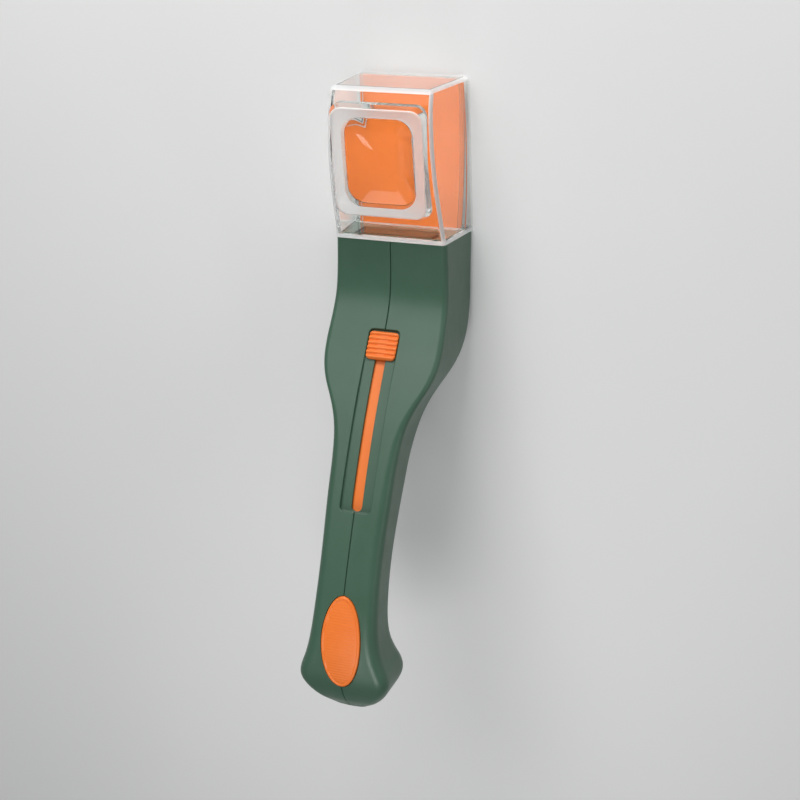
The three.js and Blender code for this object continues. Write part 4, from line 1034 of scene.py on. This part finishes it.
def cover_strip():
    radii = (SLIDE_RADIUS - STRIP, SLIDE_RADIUS)
    length, half = STRIP_HEAD
    strip = band("slot_cover_strip_look", on_slide, radii, both(length), both(half))
    length, half = STRIP_TAIL
    joined(strip, band("tail", on_slide, radii, (0, length), both(half), 1.2))
    x, y = STEM_HALF + GAP, STEM_LENGTH / 2 + GAP
    return cut(strip, column("stem_hole", [(x, -y), (x, y), (-x, y), (-x, -y)], (-4, 4), on_slider))


OVAL_RIM = 1.25
OVAL_EDGE_ROUND = (0.6, 0.75)  # inwards and down
OVAL_FIELD = 0.26  # how far the ribbed field lies under the rim
OVAL_RIB_PITCH = 1.35
OVAL_RIB_HEIGHT = 0.08
OVAL_ROWS = 230
OVAL_COLUMNS = 45


def oval_grip():
    half_turn = np.linspace(-math.pi / 2, math.pi / 2, OVAL_ROWS)
    rows = 0.35 * np.sin(half_turn * 0.999) + 0.65 * np.linspace(-1, 1, OVAL_ROWS)  # closer at the two ends
    rings = []
    for along in rows * 0.9996:
        y = OVAL_HALF_LENGTH * along
        wide = OVAL_HALF_WIDTH * math.sqrt(1 - along**2)
        x = wide * np.sin(np.linspace(-math.pi / 2, math.pi / 2, OVAL_COLUMNS))
        level = np.hypot(x / OVAL_HALF_WIDTH, along)
        slope = np.hypot(x / OVAL_HALF_WIDTH**2, y / OVAL_HALF_LENGTH**2)
        inward = (1 - level) * level / np.maximum(slope, 1e-6)  # distance from the outline, nearly
        round_up = np.sqrt(1 - (1 - np.clip(inward / OVAL_EDGE_ROUND[0], 0, 1)) ** 2)
        fall = np.clip((inward - OVAL_RIM + 0.15) / 0.35, 0, 1)
        fall = fall * fall * (3 - 2 * fall)
        ribbed = np.clip((inward - OVAL_RIM - 0.5) / 0.4, 0, 1)
        rib = ribbed * OVAL_RIB_HEIGHT * (0.5 + 0.5 * math.cos(2 * math.pi * y / OVAL_RIB_PITCH))
        raised = OVAL_PROUD - OVAL_EDGE_ROUND[1] * (1 - round_up) - OVAL_FIELD * fall + rib
        surface = front_surface(x, OVAL_CENTRE_Y + y)
        top, bottom = (spread(x, OVAL_CENTRE_Y + y, surface + by) for by in (raised, -OVAL_SUNK))
        rings.append(np.concatenate([top, bottom[::-1]]))
    return joined(loft("oval_grip_look", rings), *oval_pegs("grip_peg", PEG_RADIUS))


DOOR_LEAD = CHAMBER_LENGTH - CHAMBER_WALL - GAP
DOOR_BACK = -4.0
DOOR_CORNER = 6.0
TONGUE_END = -13.5
TONGUE_HALF = 8.0
TONGUE_CORNER = 2.2
RIVETS_Y = -9.6
RIVET_X = 4.6


def door_panel():
    ys, half = (TONGUE_END - PAST, DOOR_LEAD), DOOR_HALF_WIDTH
    panel = band("door_panel_look", on_door, (DOOR_TOP, DOOR_RADIUS), ys, both(half), 1.2)
    main = [(half, DOOR_LEAD + PAST), (-half, DOOR_LEAD + PAST)]
    x, y = half - DOOR_CORNER, DOOR_BACK + DOOR_CORNER
    main += rounded_corners([(-x, y, 2), (x, y, 3)], DOOR_CORNER, 14)
    middle = TONGUE_END / 2
    tongue = [(x, y + middle) for x, y in rounded_rectangle((TONGUE_HALF, -middle), TONGUE_CORNER)]
    plan = [column("plan", outline, (-PAST, BEYOND), np.asarray) for outline in (main, tongue)]
    common(panel, joined(*plan))
    foot = on_door(0, RIVETS_Y, DOOR_RADIUS)
    inward = np.array([0, *DOOR_CENTRE]) - foot
    inward /= np.linalg.norm(inward)
    across = np.array((1, 0, 0))
    side = np.cross(across, inward)
    for rivet_x in both(RIVET_X):
        hole = turned(rivet_x, 0, HOLE_RADIUS, full_turn(HOLE_SIDES))
        ring = np.array([foot + a * across + b * side for a, b in hole])
        cut(panel, loft("rivet_hole", [ring + inward * depth for depth in (-5, 8)]))
    return panel


finished(slider_button(), "slider_button", "slider", "orange_plastic")
finished(cover_strip(), "slot_cover_strip", "slider", "orange_plastic")
finished(oval_grip(), "oval_grip", "handle", "orange_plastic")
finished(door_panel(), "door_panel", "door", "orange_plastic")

SCREW_SIDES = 36
HEAD_EDGES = [(0, 0.5), (0.15, 0.15), (0.5, 0)]  # back from the head's face, and in from its radius
THREAD_PITCH = 0.9
THREAD_DEPTH = 0.28
CROSS_HALF = (0.45, 1.6)
CROSS_DEPTH = 0.9


def screw(name, at):
    face, back, end = SCREW_SEAT_X - SCREW_HEAD - GAP, SCREW_SEAT_X - GAP, SCREW_SEAT_X + SCREW_LENGTH
    y, z = at
    profile = [(face, 0.2)] + [(face + a, SCREW_HEAD_RADIUS - b) for a, b in HEAD_EDGES]
    profile += [(back, SCREW_HEAD_RADIUS), (back, SCREW_RADIUS)]
    threads = np.arange(back + 0.6, end - 1.2, THREAD_PITCH / 3)
    profile += [(x, SCREW_RADIUS - (THREAD_DEPTH if k % 3 else 0)) for k, x in enumerate(threads)]
    profile += [(end - 0.9, SCREW_RADIUS - 0.3), (end, 0.35)]
    turn = full_turn(SCREW_SIDES)
    made = loft(name, [spread(x, y + r * np.cos(turn), z + r * np.sin(turn)) for x, r in profile])
    arms = (CROSS_HALF, CROSS_HALF[::-1])
    xs = (face - PAST, face + CROSS_DEPTH)
    return cut(made, *(block("arm", xs, (y - a, y + a), (z - b, z + b)) for a, b in arms))


for number, at in enumerate(SCREWS_AT, 1):
    node = "handle_screw_" + str(number)
    finished(screw(node + "_look", at), node, "handle", "screw_steel")

# ---- stage

BACKGROUND_LIFT = 0.09
FLOOR_HALF = 3.0

floor_mesh = bpy.data.meshes.new("floor")
floor_corners = [(x, y, 0) for x, y in rectangle(both(FLOOR_HALF), both(FLOOR_HALF))]
floor_mesh.from_pydata(floor_corners, [], [(0, 1, 2, 3)])
floor = new_object("floor", floor_mesh)
floor.location.z = -0.0002
n = Nodes("floor_paper")
paper = n.add("ShaderNodeBsdfPrincipled")
n.link(n.blend(n.noise(scale=9), (0.74, 0.74, 0.73), (0.77, 0.77, 0.76)), paper.inputs["Base Color"])
paper.inputs["Roughness"].default_value = 0.8
n.link(n.bump(n.noise(scale=900), strength=0.1, distance=0.0001), paper.inputs["Normal"])
path = n.add("ShaderNodeLightPath")
seen = path.outputs["Is Camera Ray"]
for kind in ("Is Transmission Ray", "Is Glossy Ray"):
    either = n.add("ShaderNodeMath", operation="MAXIMUM")
    n.link(seen, either.inputs[0])
    n.link(path.outputs[kind], either.inputs[1])
    seen = either.outputs[0]
n.link(n.ranged(seen, 0, BACKGROUND_LIFT, from_low=0, from_high=1), paper.inputs["Emission Strength"])
paper.inputs["Emission Color"].default_value = (1, 1, 1, 1)
n.link(paper.outputs[0], n.output.inputs["Surface"])
floor_mesh.materials.append(n.material)

world = bpy.data.worlds.new("studio")
bpy.context.scene.world = world
world.use_nodes = True
background = world.node_tree.nodes["Background"]
background.inputs["Color"].default_value = (0.8, 0.82, 0.85, 1)
background.inputs["Strength"].default_value = 0.24

MIDDLE = Vector((0.0, 0.02, 0.05))
BUTT_MIDDLE = Vector((0.0, -0.11, 0.1))


def softbox(name, direction, distance, size, power, aim=MIDDLE):
    """A rectangular lamp, in metres and watts, that faces the point it is aimed at."""
    light = bpy.data.lights.new(name, "AREA")
    light.shape = "RECTANGLE"
    light.size, light.size_y = size
    light.energy = power
    obj = new_object(name, light)
    away = Vector(direction).normalized()
    obj.location = aim + away * distance
    obj.rotation_mode = "QUATERNION"
    obj.rotation_quaternion = away.to_track_quat("Z", "Y")


softbox("sheen_light", direction=(-0.34, 0.56, 0.755), distance=0.9, size=(0.6, 0.42), power=1.7)
softbox("front_light", direction=(-0.1, 0.93, 0.35), distance=0.9, size=(0.5, 0.3), power=5.5)
softbox("edge_light", direction=(0.88, 0.25, 0.38), distance=0.7, size=(0.6, 0.05), power=0.6)
softbox("butt_light", direction=(0.1, -0.35, 0.93), distance=0.3, size=(0.16, 0.16), power=0.4, aim=BUTT_MIDDLE)

# ---- camera at the photograph's viewing angle

YAW, PITCH, ROLL = math.radians(20.31), math.radians(19.985), math.radians(-0.425)
FOCAL_PIXELS = 1624.0
IMAGE_PIXELS = 800.0
SENSOR = 36.0
CAMERA_AT = Vector((0.259371, 0.260047, 0.722027))

forward = Vector((-math.sin(YAW) * math.cos(PITCH), -math.sin(PITCH), -math.cos(YAW) * math.cos(PITCH)))
level = forward.cross(Vector((0, 1, 0))).normalized()
down = forward.cross(level)
across = math.cos(ROLL) * level - math.sin(ROLL) * down
along = math.sin(ROLL) * level + math.cos(ROLL) * down
camera_data = bpy.data.cameras.new("camera")
camera_data.sensor_width = SENSOR
camera_data.lens = FOCAL_PIXELS / IMAGE_PIXELS * SENSOR
camera = new_object("camera", camera_data)
axes = Matrix((across, -along, -forward)).transposed()
camera.matrix_world = Matrix.Translation(CAMERA_AT) @ axes.to_4x4()
bpy.context.scene.camera = camera
bpy.context.scene.view_settings.view_transform = "Standard"
